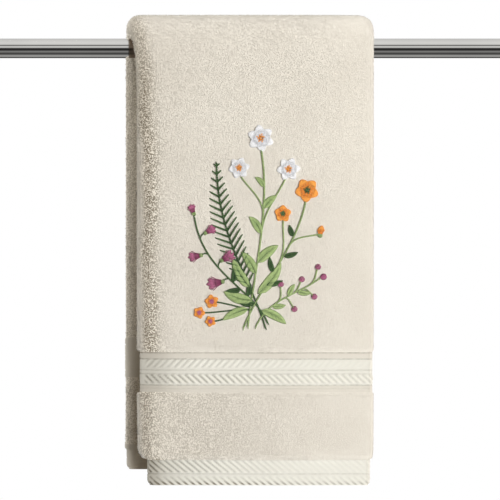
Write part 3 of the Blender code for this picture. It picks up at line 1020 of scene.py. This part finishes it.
def make_rib_tree():
    """Sizes are in mm. Slant is how far a rib moves to the right for each mm up the cloth."""
    inputs = dict.fromkeys((name.capitalize() for name in Band._fields), "Float")
    tree, given = new_modifier_tree("raise_ribs", inputs | {"Material": "Material"})
    above, across = mark(tree, "above"), mark(tree, "across")
    carried = times(tree, above, given["Slant"])
    turns = math_node(tree, "DIVIDE", math_node(tree, "SUBTRACT", across, carried), given["Pitch"])
    cord = math_node(tree, "ABSOLUTE", math_node(tree, "SINE", times(tree, turns, math.pi)))
    wave = math_node(tree, "MULTIPLY_ADD", cord, RIB_TOP - RIB_FOOT, RIB_FOOT)
    started = soft_step(tree, above, given["Low"], math_node(tree, "ADD", given["Low"], given["Edge"]))
    ending = math_node(tree, "SUBTRACT", given["High"], given["Edge"])
    unended = remaining(tree, soft_step(tree, above, ending, given["High"]))
    sunk = times(tree, soft_step(tree, across, given["Fade"], given["Faded"]), given["Sunk"])
    inside = times(tree, started, unended, mark(tree, "ribbed"), remaining(tree, sunk))
    raised = times(tree, wave, inside, given["Height"], MM / 2)
    bold = math_node(tree, "DIVIDE", given["Height"], USUAL_HEIGHT)
    # painted shade in a trough, and below 0 painted light on a crest
    shaded = times(tree, math_node(tree, "SUBTRACT", CREST_START, cord), inside, bold)
    shaded = math_node(tree, "ADD", mark(tree, "trough"), shaded)
    noted = store(tree, given["Geometry"], "trough", shaded)
    normal = result(tree, "GeometryNodeInputNormal")
    offset = vector_node(tree, "SCALE", {0: normal, "Scale": raised})
    moved = result(tree, "GeometryNodeSetPosition", {"Geometry": noted, "Offset": offset})
    woven = math_node(tree, "GREATER_THAN", mark(tree, "flat"), WOVEN_SHARE)
    end_tree(tree, moved, given["Material"], woven)
    return tree


# %% The ribs
# In mm, but for slant and sunk. The ribs begin to sink at fade and have sunk by a share at faded, both
# counted to the right from the rod's middle, and edge is how soon a band's ribs grow to their height
Band = namedtuple("Band", "low high pitch slant height edge fade faded sunk")
BANDS_OF_RIBS = rows_of(
    Band,
    (-1.0, 6.6, 5.71, -1.24, 1.6, 0.9, -30.0, 60.0, 0.42),
    (9.2, 19.9, 5.71, -1.24, 2.2, 0.9, -60.0, 62.0, 0.80),
    (81.9, 89.6, 5.53, -1.09, 2.3, 0.8, -30.0, 45.0, 0.35),
    (94.6, 101.9, 5.53, 0.98, 1.3, 0.8, -90.0, 90.0, 0.80),
)
rib_tree = make_rib_tree()
for band in BANDS_OF_RIBS:
    values = {name.capitalize(): value for name, value in band._asdict().items()}
    cloth.data = run_tree(cloth, rib_tree, values | {"Material": weave})
cloth.data.name = "terry_cloth"
print(f"ribs: {len(BANDS_OF_RIBS)} bands at each end, {triangles(cloth)} triangles in the cloth")

# %% [markdown]
# The panel carries a posy of wild flowers in coloured thread. Machine embroidery fills a shape with satin
# stitches that lie side by side, and each goes into the cloth at both ends. A picture on the cloth would
# look flat, so every stitch is a short line of four points that rises out of the pile and sinks back into
# it. The lines are laid in plain Python here, and a tree gives them their thickness later.

# %% Laying stitches
ROW_GAP = 0.62  # from one stitch to the next, in mm
CROWN, SUNK_END = 0.45, -0.75  # how far a stitch stands over the tips of the pile, and its ends below them
STITCH_SHARES = (0.0, 0.22, 0.78, 1.0)  # where the points of a stitch lie along it
UNEVEN_SHADE = 0.24  # how far one stitch may be lighter or deeper than the next, as it catches the light
thread_luck = random.Random(5)

stitches = {}  # the stitches of each colour, as lists of (x, level, lift, shade)


def stitch(colour, start, end, shades, crown=CROWN):
    """One stitch between two points of the panel. Its shades run from 0, the deep tone, to 1, the light."""
    start, end = np.array(start), np.array(end)
    uneven = thread_luck.uniform(-UNEVEN_SHADE, UNEVEN_SHADE)
    shades = [min(1.0, max(0.0, shade + uneven)) for shade in shades]
    lifts = (SUNK_END, crown, crown, SUNK_END)
    parts = zip(STITCH_SHARES, lifts, shades)
    line = [(*(start + (end - start) * share), lift, shade) for share, lift, shade in parts]
    stitches.setdefault(colour, []).append(line)


def spot(curve, share):
    """A point of a cubic curve with four control points, and the unit vectors ahead and to the left."""
    a, b, c, d = (np.array(point, dtype=float) for point in curve)
    rest = 1 - share
    place = a * rest**3 + 3 * b * rest**2 * share + 3 * c * rest * share**2 + d * share**3
    ahead = (b - a) * rest**2 + 2 * (c - b) * rest * share + (d - c) * share**2
    ahead /= np.hypot(*ahead)
    return place, ahead, np.array((-ahead[1], ahead[0]))


def curve_length(curve, parts=24):
    places = np.array([spot(curve, part / parts)[0] for part in range(parts + 1)])
    return np.hypot(*np.diff(places, axis=0).T).sum()


def ahead_and_side(turn):
    """The unit vectors ahead and to the right of a turn, in degrees to the left of straight up."""
    turn = math.radians(turn)
    return np.array((-math.sin(turn), math.cos(turn))), np.array((math.cos(turn), math.sin(turn)))


def lanes(wide, least):
    """Where stitches lie side by side, from -1 at the left of a width to 1 at its right."""
    count = max(least, round(wide / ROW_GAP))
    return [(lane + 0.5) / count * 2 - 1 for lane in range(count)]


# %% [markdown]
# Four ways of stitching draw everything. A stem is a rope of slanting stitches that overlap. A leaf has
# slanting stitches on both sides of its midrib. A petal has two rings of stitches that fan out from the
# heart of its flower, and a bell is a petal that flares. A spot is a few stitches side by side, cut
# round.

# %% Stems and leaves
STEM_STEP, STEM_STITCH = 1.3, 3.0  # from one stitch of a stem to the next, and how far one reaches, in mm
LEAF_SLANT = 0.17  # how far along the leaf a stitch ends, as a share of its length
LEAF_RISE, LEAF_FALL = 0.6, 0.75  # powers that round the base of a leaf and point its tip
LEAF_FULL = 2.53  # brings that outline to its full width
MIDRIB_GAP = 0.2


def lay_stem(colour, curve, wide, low=0.35, high=0.6):
    length = curve_length(curve)
    count = round(length / STEM_STEP)
    for step in range(count):
        start, _, left = spot(curve, step / count)
        end = spot(curve, min(1.0, step / count + STEM_STITCH / length))[0]
        shades = (low, high, high, low)
        stitch(colour, start - left * wide / 2, end + left * wide / 2, shades, CROWN - 0.1)


def lay_leaf(colour, base, tip, wide, bend=0.0, shades=(0.05, 0.6, 1.0, 0.35)):
    """bend bows the midrib to the left, in mm."""
    base, tip = np.array(base, dtype=float), np.array(tip, dtype=float)
    length = np.hypot(*(tip - base))
    ahead = (tip - base) / length
    left = np.array((-ahead[1], ahead[0]))
    midrib = (base, base + (tip - base) / 3 + left * bend, tip - (tip - base) / 3 + left * bend, tip)
    count = round(length / ROW_GAP)
    for step in range(count):
        share = (step + 0.5) / count
        reach = min(1.0, share + LEAF_SLANT)
        half = wide / 2 * LEAF_FULL * reach**LEAF_RISE * (1 - reach) ** LEAF_FALL
        outer, _, side = spot(midrib, reach)
        for hand in (-1, 1):
            inner = spot(midrib, share)[0] - side * hand * MIDRIB_GAP
            stitch(colour, inner, outer + side * hand * half, shades)


# %% Petals, spots and blossoms
PETAL = (0.26, 0.92, 0.66)  # how wide a petal is at its foot, its middle and its rim
BELL = (0.30, 0.62, 1.0)
PETAL_JOINT, JOINT_SHIFT = 0.5, 0.07  # where the two rings of stitches meet, unevenly, as shares of a petal
JOINT_LAP = 0.6  # how far the inner ring reaches over the outer one, in mm
KNOTS = 12  # in the heart of a blossom
KNOT_TURN = 137.5  # from one knot to the next, as in a daisy's heart
ROUND_SHADES = (0.3, 0.9, 0.9, 0.3)


def lay_petal(colour, heart, turn, long, wide, form=PETAL, foot=0.15, lobes=0.0, shades=(0.2, 0.6, 1.0)):
    """turn is the way from the heart, in degrees to the left of straight up."""
    heart = np.array(heart, dtype=float)
    ahead, side = ahead_and_side(turn)
    for lane, across in enumerate(lanes(wide, 3)):
        rim = 1 - 0.30 * across**2 + lobes * math.cos(3 * math.pi * across)
        joint = PETAL_JOINT + (JOINT_SHIFT if lane % 2 else -JOINT_SHIFT)
        places = [
            heart + ahead * long * away + side * across * wide / 2 * share
            for away, share in zip((foot, joint, rim), form)
        ]
        inner, middle, outer = (shade * (1 - 0.45 * abs(across) ** 3) for shade in shades)
        stitch(colour, places[1], places[2], (middle, outer, outer, middle), CROWN + 0.15)
        lapped = places[1] + ahead * JOINT_LAP
        stitch(colour, places[0], lapped, (inner, inner, middle, middle), CROWN + 0.25)


def lay_spot(colour, centre, radius, turn=0.0, shades=(0.3, 0.8, 0.8, 0.3), crown=CROWN + 0.3):
    """Stitches across a circle, a little fuller at its sides than round."""
    ahead, side = ahead_and_side(turn)
    for across in lanes(2 * radius, 2):
        half = radius * math.sqrt(1 - across**2 * 0.9)
        middle = np.array(centre, dtype=float) + side * across * radius
        stitch(colour, middle - ahead * half, middle + ahead * half, shades, crown)


def lay_blossom(colour, heart, radius, petals, turn=0.0, wide=1.0, heart_colour="orange"):
    """Petals round a heart of small knots. wide is 1 where the petals just touch."""
    for petal in range(petals):
        across = 2 * radius * math.sin(math.pi / petals) * wide
        lay_petal(colour, heart, turn + 360 * petal / petals, radius, across)
    for knot in range(KNOTS):
        away = radius * 0.30 * math.sqrt(knot / (KNOTS - 1))
        bearing = math.radians(KNOT_TURN * knot)
        place = np.array(heart) + away * np.array((math.cos(bearing), math.sin(bearing)))
        lay_spot(heart_colour, place, 0.7, 60 * knot, ROUND_SHADES, CROWN + 0.55)


# %% [markdown]
# The posy is a fan: five stems cross near its foot and lean apart, and each has its own flower. It is
# laid out in millimetres on the panel, with x from the rod's middle and level below the rod. What lies on
# top is laid last and stands a little higher.

# %% The posy's stems
TALL = ((-2, -229), (4, -180), (17, -130), (9, -84))
FERN = ((13, -230), (2, -190), (-27, -155), (-27, -94))
ARCHING = ((15, -226), (4, -196), (-38, -186), (-45, -138))
POPPY = ((-6, -230), (10, -190), (37, -166), (45, -126))
BERRY = ((4, -229), (14, -205), (36, -203), (57, -188))
FRONDS = 19
SHADY = (0.0, 0.3, 0.6, 0.1)  # shades of the small dark leaves
BUD_GREEN = (0.2, 0.5, 0.5, 0.2)
BERRY_SHADES = (0.2, 0.9, 0.7, 0.1)


def lay_branch(colour, stem, share, end, wide=0.9):
    """A side stem from a share of a stem to an end. It leaves along the stem and bends away."""
    start, ahead, _ = spot(stem, share)
    end = np.array(end, dtype=float)
    branch = (start, start + ahead * np.hypot(*(end - start)) * 0.4, end - (end - start) * 0.3, end)
    lay_stem(colour, branch, wide)


def lay_side_leaves(colour, stem, out, up, bend, leaves, **looks):
    """Leaves beside a stem, as (share of the stem, hand, length, width). hand is 1 at the left."""
    for share, hand, long, wide in leaves:
        place, ahead, left = spot(stem, share)
        tip = place + (left * hand * out + ahead * up) * long
        lay_leaf(colour, place, tip, wide, bend * hand, **looks)


# %% The fern
def lay_fern():
    lay_stem("fern", FERN, 1.2, 0.1, 0.5)
    for pair in range(FRONDS):
        place, ahead, left = spot(FERN, 0.32 + 0.66 * pair / (FRONDS - 1))
        long = 12.5 * math.sin(math.pi * (0.22 + 0.74 * pair / (FRONDS - 1))) + 1.5
        for hand in (-1, 1):
            tip = place + (left * hand * 0.78 + ahead * 0.62) * long
            for lane in (-0.7, 0.0, 0.7):
                belly = ahead * lane
                stitch("fern", place + belly, tip + belly * 0.35, (0.1, 0.45, 0.7, 0.3))


# %% The berries and the bells
def lay_berries():
    lay_stem("leaf", BERRY, 1.0, 0.15, 0.6)
    for share, end in (
        (0.42, (25, -193)), (0.52, (36, -213)), (0.64, (42, -189)), (0.76, (52, -203)), (0.86, (55, -179)),
    ):
        lay_branch("leaf", BERRY, share, end)
        lay_spot("mauve", end, 2.3, 35, BERRY_SHADES)
    lay_spot("mauve", (59.5, -187), 2.5, 20, BERRY_SHADES)
    lay_side_leaves("leaf", BERRY, 6, 9, 0.8, ((0.34, -1, 1, 4.2), (0.58, 1, 1, 4.2), (0.70, -1, 1, 4.2)))


def lay_bells():
    lay_stem("fern", ARCHING, 1.1, 0.3, 0.8)
    for number, share in enumerate((0.50, 0.62, 0.74, 0.86, 1.0)):
        place, ahead, left = spot(ARCHING, share)
        hand = -1 if number % 2 else 1
        last = share == 1.0
        neck = place + ahead * 2.0 if last else place + left * hand * 5.5 + ahead * 2.5
        droop = 20 if last else 100 if hand > 0 else -60
        lay_stem("fern", (place, place + ahead * 2, neck + ahead, neck), 0.9, 0.3, 0.7)
        size = 12.5 - 1.2 * number
        lay_petal("mauve", neck, droop, size, size * 0.95, BELL, 0.1, 0.07, (0.1, 0.55, 0.95))
        lay_spot("leaf", neck, 1.6, droop, BUD_GREEN, CROWN + 0.5)
    leaves = ((0.22, 1, 1, 4.6), (0.30, -1, 1, 4.6), (0.38, 1, 1, 4.6), (0.46, -1, 1, 4.6))
    lay_side_leaves("fern", ARCHING, 9, 8, 0.8, leaves, shades=SHADY)


# %% The tall blossoms and the poppies
def lay_tall():
    lay_stem("leaf", TALL, 1.3, 0.15, 0.6)
    lay_branch("leaf", TALL, 0.62, (-7, -106))
    lay_branch("leaf", TALL, 0.52, (29, -107))
    leaves = (
        (0.30, 1, 21, 7.5), (0.36, -1, 22, 8), (0.52, 1, 17, 6.5), (0.66, -1, 15, 6), (0.78, 1, 11, 4.5),
    )
    lay_side_leaves("leaf", TALL, 0.66, 0.75, -1.6, leaves)
    for heart, radius, turn in (((8.5, -75), 10.8, 8), ((-9, -99), 8.6, 40), ((31, -100), 9.5, -25)):
        lay_blossom("white", heart, radius, 6, turn, 0.86)


def lay_poppies():
    lay_stem("leaf", POPPY, 1.2, 0.1, 0.5)
    lay_branch("leaf", POPPY, 0.50, (27, -140))
    lay_branch("leaf", POPPY, 0.66, (57, -152))
    leaves = ((0.34, -1, 14, 4.2), (0.44, 1, 13, 4.2), (0.58, -1, 12, 4.2), (0.74, 1, 10, 4.2))
    lay_side_leaves("fern", POPPY, 0.7, 0.7, 1.0, leaves, shades=SHADY)
    lay_blossom("orange", (46, -117), 9.6, 5, 30, 0.92, "fern")
    lay_blossom("orange", (26.5, -136), 6.8, 5, 70, 0.92, "fern")
    lay_petal("orange", (56.5, -154), -12, 8.5, 6.5, PETAL, 0.05, 0.0, (0.1, 0.5, 0.9))
    lay_spot("leaf", (56.7, -153.5), 1.9, -12, (0.2, 0.6, 0.6, 0.2), CROWN + 0.5)


# %% The foot of the posy
def lay_foot():
    """The broad leaves and the small orange stars round the place where the stems cross."""
    for base, tip, wide, bend in (
        ((2, -206), (-21, -199), 8.5, 2.5), ((6, -201), (25, -176), 8.5, -2.5),
        ((0, -196), (-14, -172), 8.0, 2.0), ((-1, -213), (-22, -222), 7.0, -2.0),
        ((9, -214), (29, -225), 7.0, 2.0),
    ):
        lay_leaf("leaf", base, tip, wide, bend)
    for place, size, turn in (((-31, -207), 5.6, 10), ((-41, -216), 4.8, 50), ((-32, -223), 4.4, 25)):
        lay_stem("fern", ((2, -214), (-8, -212), (place[0] + 12, place[1] - 1), place), 0.9, 0.2, 0.5)
        lay_blossom("orange", place, size, 5, turn, 0.85, "mauve")


for lay in (lay_fern, lay_berries, lay_bells, lay_tall, lay_poppies, lay_foot):
    lay()
print("stitches: " + ", ".join(f"{len(lines)} {colour}" for colour, lines in stitches.items()))

# %% [markdown]
# A thread is a stitch's line with a round section swept along it. Each colour becomes one mesh. The shade
# that was given to each point of a stitch travels with it, so one material shows the deep foot and the
# light rim of a petal.

# %% The tree that spins threads
def make_thread_tree():
    """Gives lines their thickness. Radius is in metres."""
    inputs = {"Radius": "Float", "Sides": "Int", "Material": "Material"}
    tree, given = new_modifier_tree("embroidery_threads", inputs)
    lines = result(tree, "GeometryNodeMeshToCurve", {"Mesh": given["Geometry"]})
    section = {"Resolution": given["Sides"], "Radius": given["Radius"]}
    section = result(tree, "GeometryNodeCurvePrimitiveCircle", section)
    inputs = {"Curve": lines, "Profile Curve": section, "Fill Caps": True}
    solid = result(tree, "GeometryNodeCurveToMesh", inputs)
    smooth = result(tree, "GeometryNodeSetShadeSmooth", {"Geometry": solid})
    end_tree(tree, smooth, given["Material"])
    return tree


def panel_face(x, level):
    """Where the tips of the pile lie in front of the rod's axis, in mm."""
    return BEND_RADIUS + read_fold(FRONT, level).stack + swell(FRONT_SWELLS, x, level)


def stitch_lines(name, lines):
    """An object of bare edges, a chain for each stitch, with its shade on every point."""
    points = sum(lines, [])
    places = [
        ((MIDDLE + x) * MM, -(panel_face(x, level) + lift) * MM, level * MM) for x, level, lift, _ in points
    ]
    edges = [(k, k + 1) for k in range(len(points)) if (k + 1) % len(STITCH_SHARES)]
    data = bpy.data.meshes.new(name)
    data.from_pydata(places, edges, [])
    data.attributes.new("shade", "FLOAT", "POINT").data.foreach_set("value", [point[3] for point in points])
    return placed(name, data)


# %% The threads
THREAD = {"Radius": 0.34 * MM, "Sides": 4}
TONES = {  # the deep and the light tone of each colour
    "leaf": ((0.120, 0.200, 0.066, 1), (0.430, 0.550, 0.240, 1)),
    "fern": ((0.017, 0.045, 0.013, 1), (0.085, 0.165, 0.056, 1)),
    "mauve": ((0.150, 0.023, 0.065, 1), (0.500, 0.150, 0.280, 1)),
    "orange": ((0.620, 0.150, 0.020, 1), (0.930, 0.400, 0.080, 1)),
    "white": ((0.560, 0.570, 0.620, 1), (0.900, 0.905, 0.930, 1)),
}
DARKER_YARN = grey(0.78)


def thread_material(name, deep, light):
    """Glossy embroidery thread between two tones of its colour."""
    material, tree, shader = new_material(name)
    place = add(tree, "ShaderNodeTexCoord").outputs["Object"]
    colour = mix_colour(tree, painted(tree, "shade"), deep, light)
    darker = mix_colour(tree, 1.0, colour, DARKER_YARN, "MULTIPLY")
    colour = tinted(tree, place, colour, darker, 0.6, 1.6)
    twist = bumped(tree, noise(tree, place, 1500.0, 2.0), 0.3, 0.0002)
    feed(tree, shader, {"Base Color": colour, "Normal": twist, "Roughness": 0.48, "Sheen Weight": 0.2})
    return material


thread_tree = make_thread_tree()
embroidery = []
for colour, (deep, light) in TONES.items():
    lines = stitch_lines(f"stitches_{colour}", stitches[colour])
    material = thread_material(f"thread_{colour}", deep, light)
    lines.data = run_tree(lines, thread_tree, THREAD | {"Material": material})
    lines.data.name = lines.name
    embroidery.append(lines)
    print(f"{lines.name}: {triangles(lines)} triangles")

# %% [markdown]
# The loops of the pile are real geometry, since they make the outline soft and the shade between them is
# what the eye reads as terry. One loop is a small arch of yarn with three sides, cheap enough for tens of
# thousands. Loops stand in random places, but never closer than the spacing, and each leans, turns and
# grows a little differently. Where the embroidery lies, and where the cloth is woven flat, there are
# none.

# %% The tree that sets loops
LOOP_BENDS = 3  # points of the arc that a loop follows
ARC_START, ARC_SWEEP = -25, 230  # in degrees, so that both feet of a loop turn in a little
SMALLEST, LARGEST = (0.8, 0.8, 0.75), (1.25, 1.25, 1.25)  # how much a loop may differ from its usual size
CALM_SINK = 0.5  # how much lower a loop is where the pile lies flat


def random_value(tree, low, high, seed, kind="FLOAT"):
    """A random value, or vector, between two others for each loop."""
    first, output = {"FLOAT": (2, 1), "FLOAT_VECTOR": (0, 0)}[kind]
    inputs = {"Seed": seed, first: low, first + 1: high}
    return add(tree, "FunctionNodeRandomValue", inputs, data_type=kind).outputs[output]


def swayed(tree, most, seed):
    """A random angle up to the given one to either side."""
    return random_value(tree, times(tree, most, -1.0), most, seed)


def make_loop(tree, given):
    """One loop of yarn, which stands on its two feet."""
    arc = {"Resolution": LOOP_BENDS, "Radius": 0.5}
    arc |= {"Start Angle": math.radians(ARC_START), "Sweep Angle": math.radians(ARC_SWEEP)}
    arch = result(tree, "GeometryNodeCurveArc", arc)
    size = {0: given["Width"], 1: given["Tall"], 2: given["Width"]}
    size = result(tree, "ShaderNodeCombineXYZ", size)
    for change in ({"Scale": size}, {"Rotation": (math.radians(90), 0, 0)}):
        arch = result(tree, "GeometryNodeTransform", {"Geometry": arch} | change)
    section = {"Resolution": 3, "Radius": given["Yarn"]}
    section = result(tree, "GeometryNodeCurvePrimitiveCircle", section)
    inputs = {"Curve": arch, "Profile Curve": section, "Fill Caps": True}
    loop = result(tree, "GeometryNodeCurveToMesh", inputs)
    return result(tree, "GeometryNodeSetShadeSmooth", {"Geometry": loop})


def loop_places(tree, given):
    """Points on the marked cloth between two distances along it, clear of the stitches, and their turn."""
    inputs = {"Mesh": given["Geometry"], "Distance Min": given["Spacing"], "Density Max": given["Density"]}
    inputs |= {"Seed": given["Seed"], "Density Factor": mark(tree, "looped")}
    points = add(tree, "GeometryNodeDistributePointsOnFaces", inputs, distribute_method="POISSON").outputs
    past = math_node(tree, "GREATER_THAN", mark(tree, "along"), given["High"])
    short = math_node(tree, "LESS_THAN", mark(tree, "along"), given["Low"])
    lines = add(tree, "GeometryNodeObjectInfo", {"Object": given["Stitches"]}).outputs["Geometry"]
    near = add(tree, "GeometryNodeProximity", {0: lines}, target_element="EDGES").outputs["Distance"]
    covered = math_node(tree, "LESS_THAN", near, given["Clearance"])
    left_out = math_node(tree, "MAXIMUM", covered, math_node(tree, "MAXIMUM", past, short))
    inputs = {"Geometry": points["Points"], "Selection": left_out}
    clear = result(tree, "GeometryNodeDeleteGeometry", inputs)
    return store(tree, clear, "facing", points["Normal"], "FLOAT_VECTOR"), points["Rotation"]


def loop_turn(tree, given, turn):
    """The rotation of a loop along the warp, leant and spun at random."""
    inputs = {"Rotation": turn, "Vector": mark(tree, "warp", "FLOAT_VECTOR")}
    turn = result(tree, "FunctionNodeAlignRotationToVector", inputs, axis="X", pivot_axis="Z")
    lean = {0: swayed(tree, given["Lean"], 1), 1: swayed(tree, given["Lean"], 2)}
    for angles in (lean, {2: swayed(tree, given["Spin"], 3)}):
        angles = result(tree, "ShaderNodeCombineXYZ", angles)
        euler = result(tree, "FunctionNodeEulerToRotation", {0: angles})
        turn = result(tree, "FunctionNodeRotateRotation", {0: turn, 1: euler}, rotation_space="LOCAL")
    return turn


def make_loop_tree():
    """Stands loops of yarn on the cloth. Sizes are in metres and angles in radians."""
    sizes = ("Low", "High", "Density", "Spacing", "Width", "Tall", "Yarn", "Lean", "Spin")
    others = {"Seed": "Int", "Material": "Material", "Stitches": "Object", "Clearance": "Float"}
    tree, given = new_modifier_tree("terry_loops", dict.fromkeys(sizes, "Float") | others)
    points, turn = loop_places(tree, given)
    grown = random_value(tree, SMALLEST, LARGEST, 4, "FLOAT_VECTOR")
    lower = math_node(tree, "MULTIPLY_ADD", mark(tree, "calm"), -CALM_SINK, 1.0)
    lower = result(tree, "ShaderNodeCombineXYZ", {0: 1.0, 1: 1.0, 2: lower})
    inputs = {"Points": points, "Instance": make_loop(tree, given), "Rotation": loop_turn(tree, given, turn)}
    inputs |= {"Scale": vector_node(tree, "MULTIPLY", {0: grown, 1: lower})}
    stood = result(tree, "GeometryNodeInstanceOnPoints", inputs)
    toned = store(tree, stood, "tone", random_value(tree, 0.0, 1.0, 5), domain="INSTANCE")
    end_tree(tree, toned, given["Material"])
    return tree


# %% [markdown]
# Light scatters inside cotton, so a loop is never as dark on its far side as a hard arch would be. Its
# material turns each loop's own direction toward that of the cloth below it, most where the pile is calm
# and least where a fold opens it. There the loops also get more painted shade, more on some than others.

# %% The yarn of the loops
SOFTENED = 5.2  # how much of the cloth's own direction a loop takes on
CALM_SOFTENED = 9.0  # how much more of it where the pile lies flat
OPEN_SOFTENED = 1.5  # how fast a loop loses it where a fold opens the pile
LEAST_SOFTENED = 0.2  # the share of it that is always left
EVEN_TONES, FOLD_SHADE_TONES = 0.04, 0.5  # how far loops differ in tone, and how much more painted shade they get where a fold opens the pile

yarn, tree, shader = new_material("terry_yarn")
place = add(tree, "ShaderNodeTexCoord").outputs["Object"]
colour = tinted(tree, place, PILE_LIGHT, PILE_DEEP, 0.8, 0.6)
fold_shading_share, dark = paint_fold_shading(tree, place)
# painted shade: loops darker at random, much more where fold shading is painted
depth = math_node(tree, "MULTIPLY_ADD", fold_shading_share, FOLD_SHADE_TONES, EVEN_TONES)
dark = math_node(tree, "ADD", times(tree, remaining(tree, painted(tree, "tone")), depth), dark)
softened = math_node(tree, "MULTIPLY_ADD", painted(tree, "calm"), CALM_SOFTENED, SOFTENED)
kept = math_node(tree, "MULTIPLY_ADD", fold_shading_share, -OPEN_SOFTENED, 1.0)
softened = times(tree, softened, math_node(tree, "MAXIMUM", kept, LEAST_SOFTENED))
facing = vector_node(tree, "SCALE", {0: painted(tree, "facing", "Vector"), "Scale": softened})
own = add(tree, "ShaderNodeNewGeometry").outputs["Normal"]
blended = vector_node(tree, "NORMALIZE", {0: vector_node(tree, "ADD", {0: facing, 1: own})})
finish_cloth(tree, shader, colour, fold_shading_share, dark, {"Normal": blended, "Roughness": 0.9, "Sheen Weight": 0.15})
print(f"terry yarn: {len(tree.nodes)} nodes")

# %% The fields of loops
CLOTH_LENGTH = ARCH_END + REAR_DROP
FRONT_SPLIT = 232.0  # mm along the cloth, between two fields of the front, so that neither has too many loops
REAR_SPLIT = ARCH_END + 120.0
Field = namedtuple("Field", "name low high")
FIELDS = rows_of(
    Field,
    ("loops_front_foot", HEM_TOP, FOOT_TOP),
    ("loops_front_low", BORDER_TOP, FRONT_SPLIT),
    ("loops_front_high", FRONT_SPLIT, FRONT_DROP),
    ("loops_arch", FRONT_DROP, ARCH_END),
    ("loops_rear_high", ARCH_END, REAR_SPLIT),
    ("loops_rear_low", REAR_SPLIT, CLOTH_LENGTH - BORDER_TOP),
    ("loops_rear_foot", CLOTH_LENGTH - FOOT_TOP, CLOTH_LENGTH - HEM_TOP),
)
every_stitch = stitch_lines("every_stitch", sum(stitches.values(), []))
LOOP = {"Width": 1.10 * MM, "Tall": 1.05 * MM, "Yarn": 0.28 * MM, "Lean": math.radians(26)}
LOOP |= {"Density": 1.20 / MM**2, "Spacing": 1.02 * MM, "Spin": math.radians(14), "Seed": 11}
LOOP |= {"Material": yarn, "Stitches": every_stitch, "Clearance": 1.25 * MM}

loop_tree = make_loop_tree()
pile = []
for field in FIELDS:
    values = LOOP | {"Low": field.low, "High": field.high}
    loops = placed(field.name, run_tree(cloth, loop_tree, values))
    pile.append(loops)
    print(f"{field.name}: {triangles(loops)} triangles")
bpy.data.objects.remove(every_stitch)

# %% [markdown]
# The pieces take their places in the frame. All ride on its one body. The rod and the cloth replace the
# two solids, which are hidden, with the loops and stitches on the cloth.

# %% Places in the frame
pile += embroidery
for loops in pile:
    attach(loops, "root")
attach(rod, "root")
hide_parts("bar")
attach(cloth, "root")
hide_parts("towel")
print(f"{len(pile) + 2} pieces, {sum(triangles(piece) for piece in [rod, cloth, *pile])} triangles")
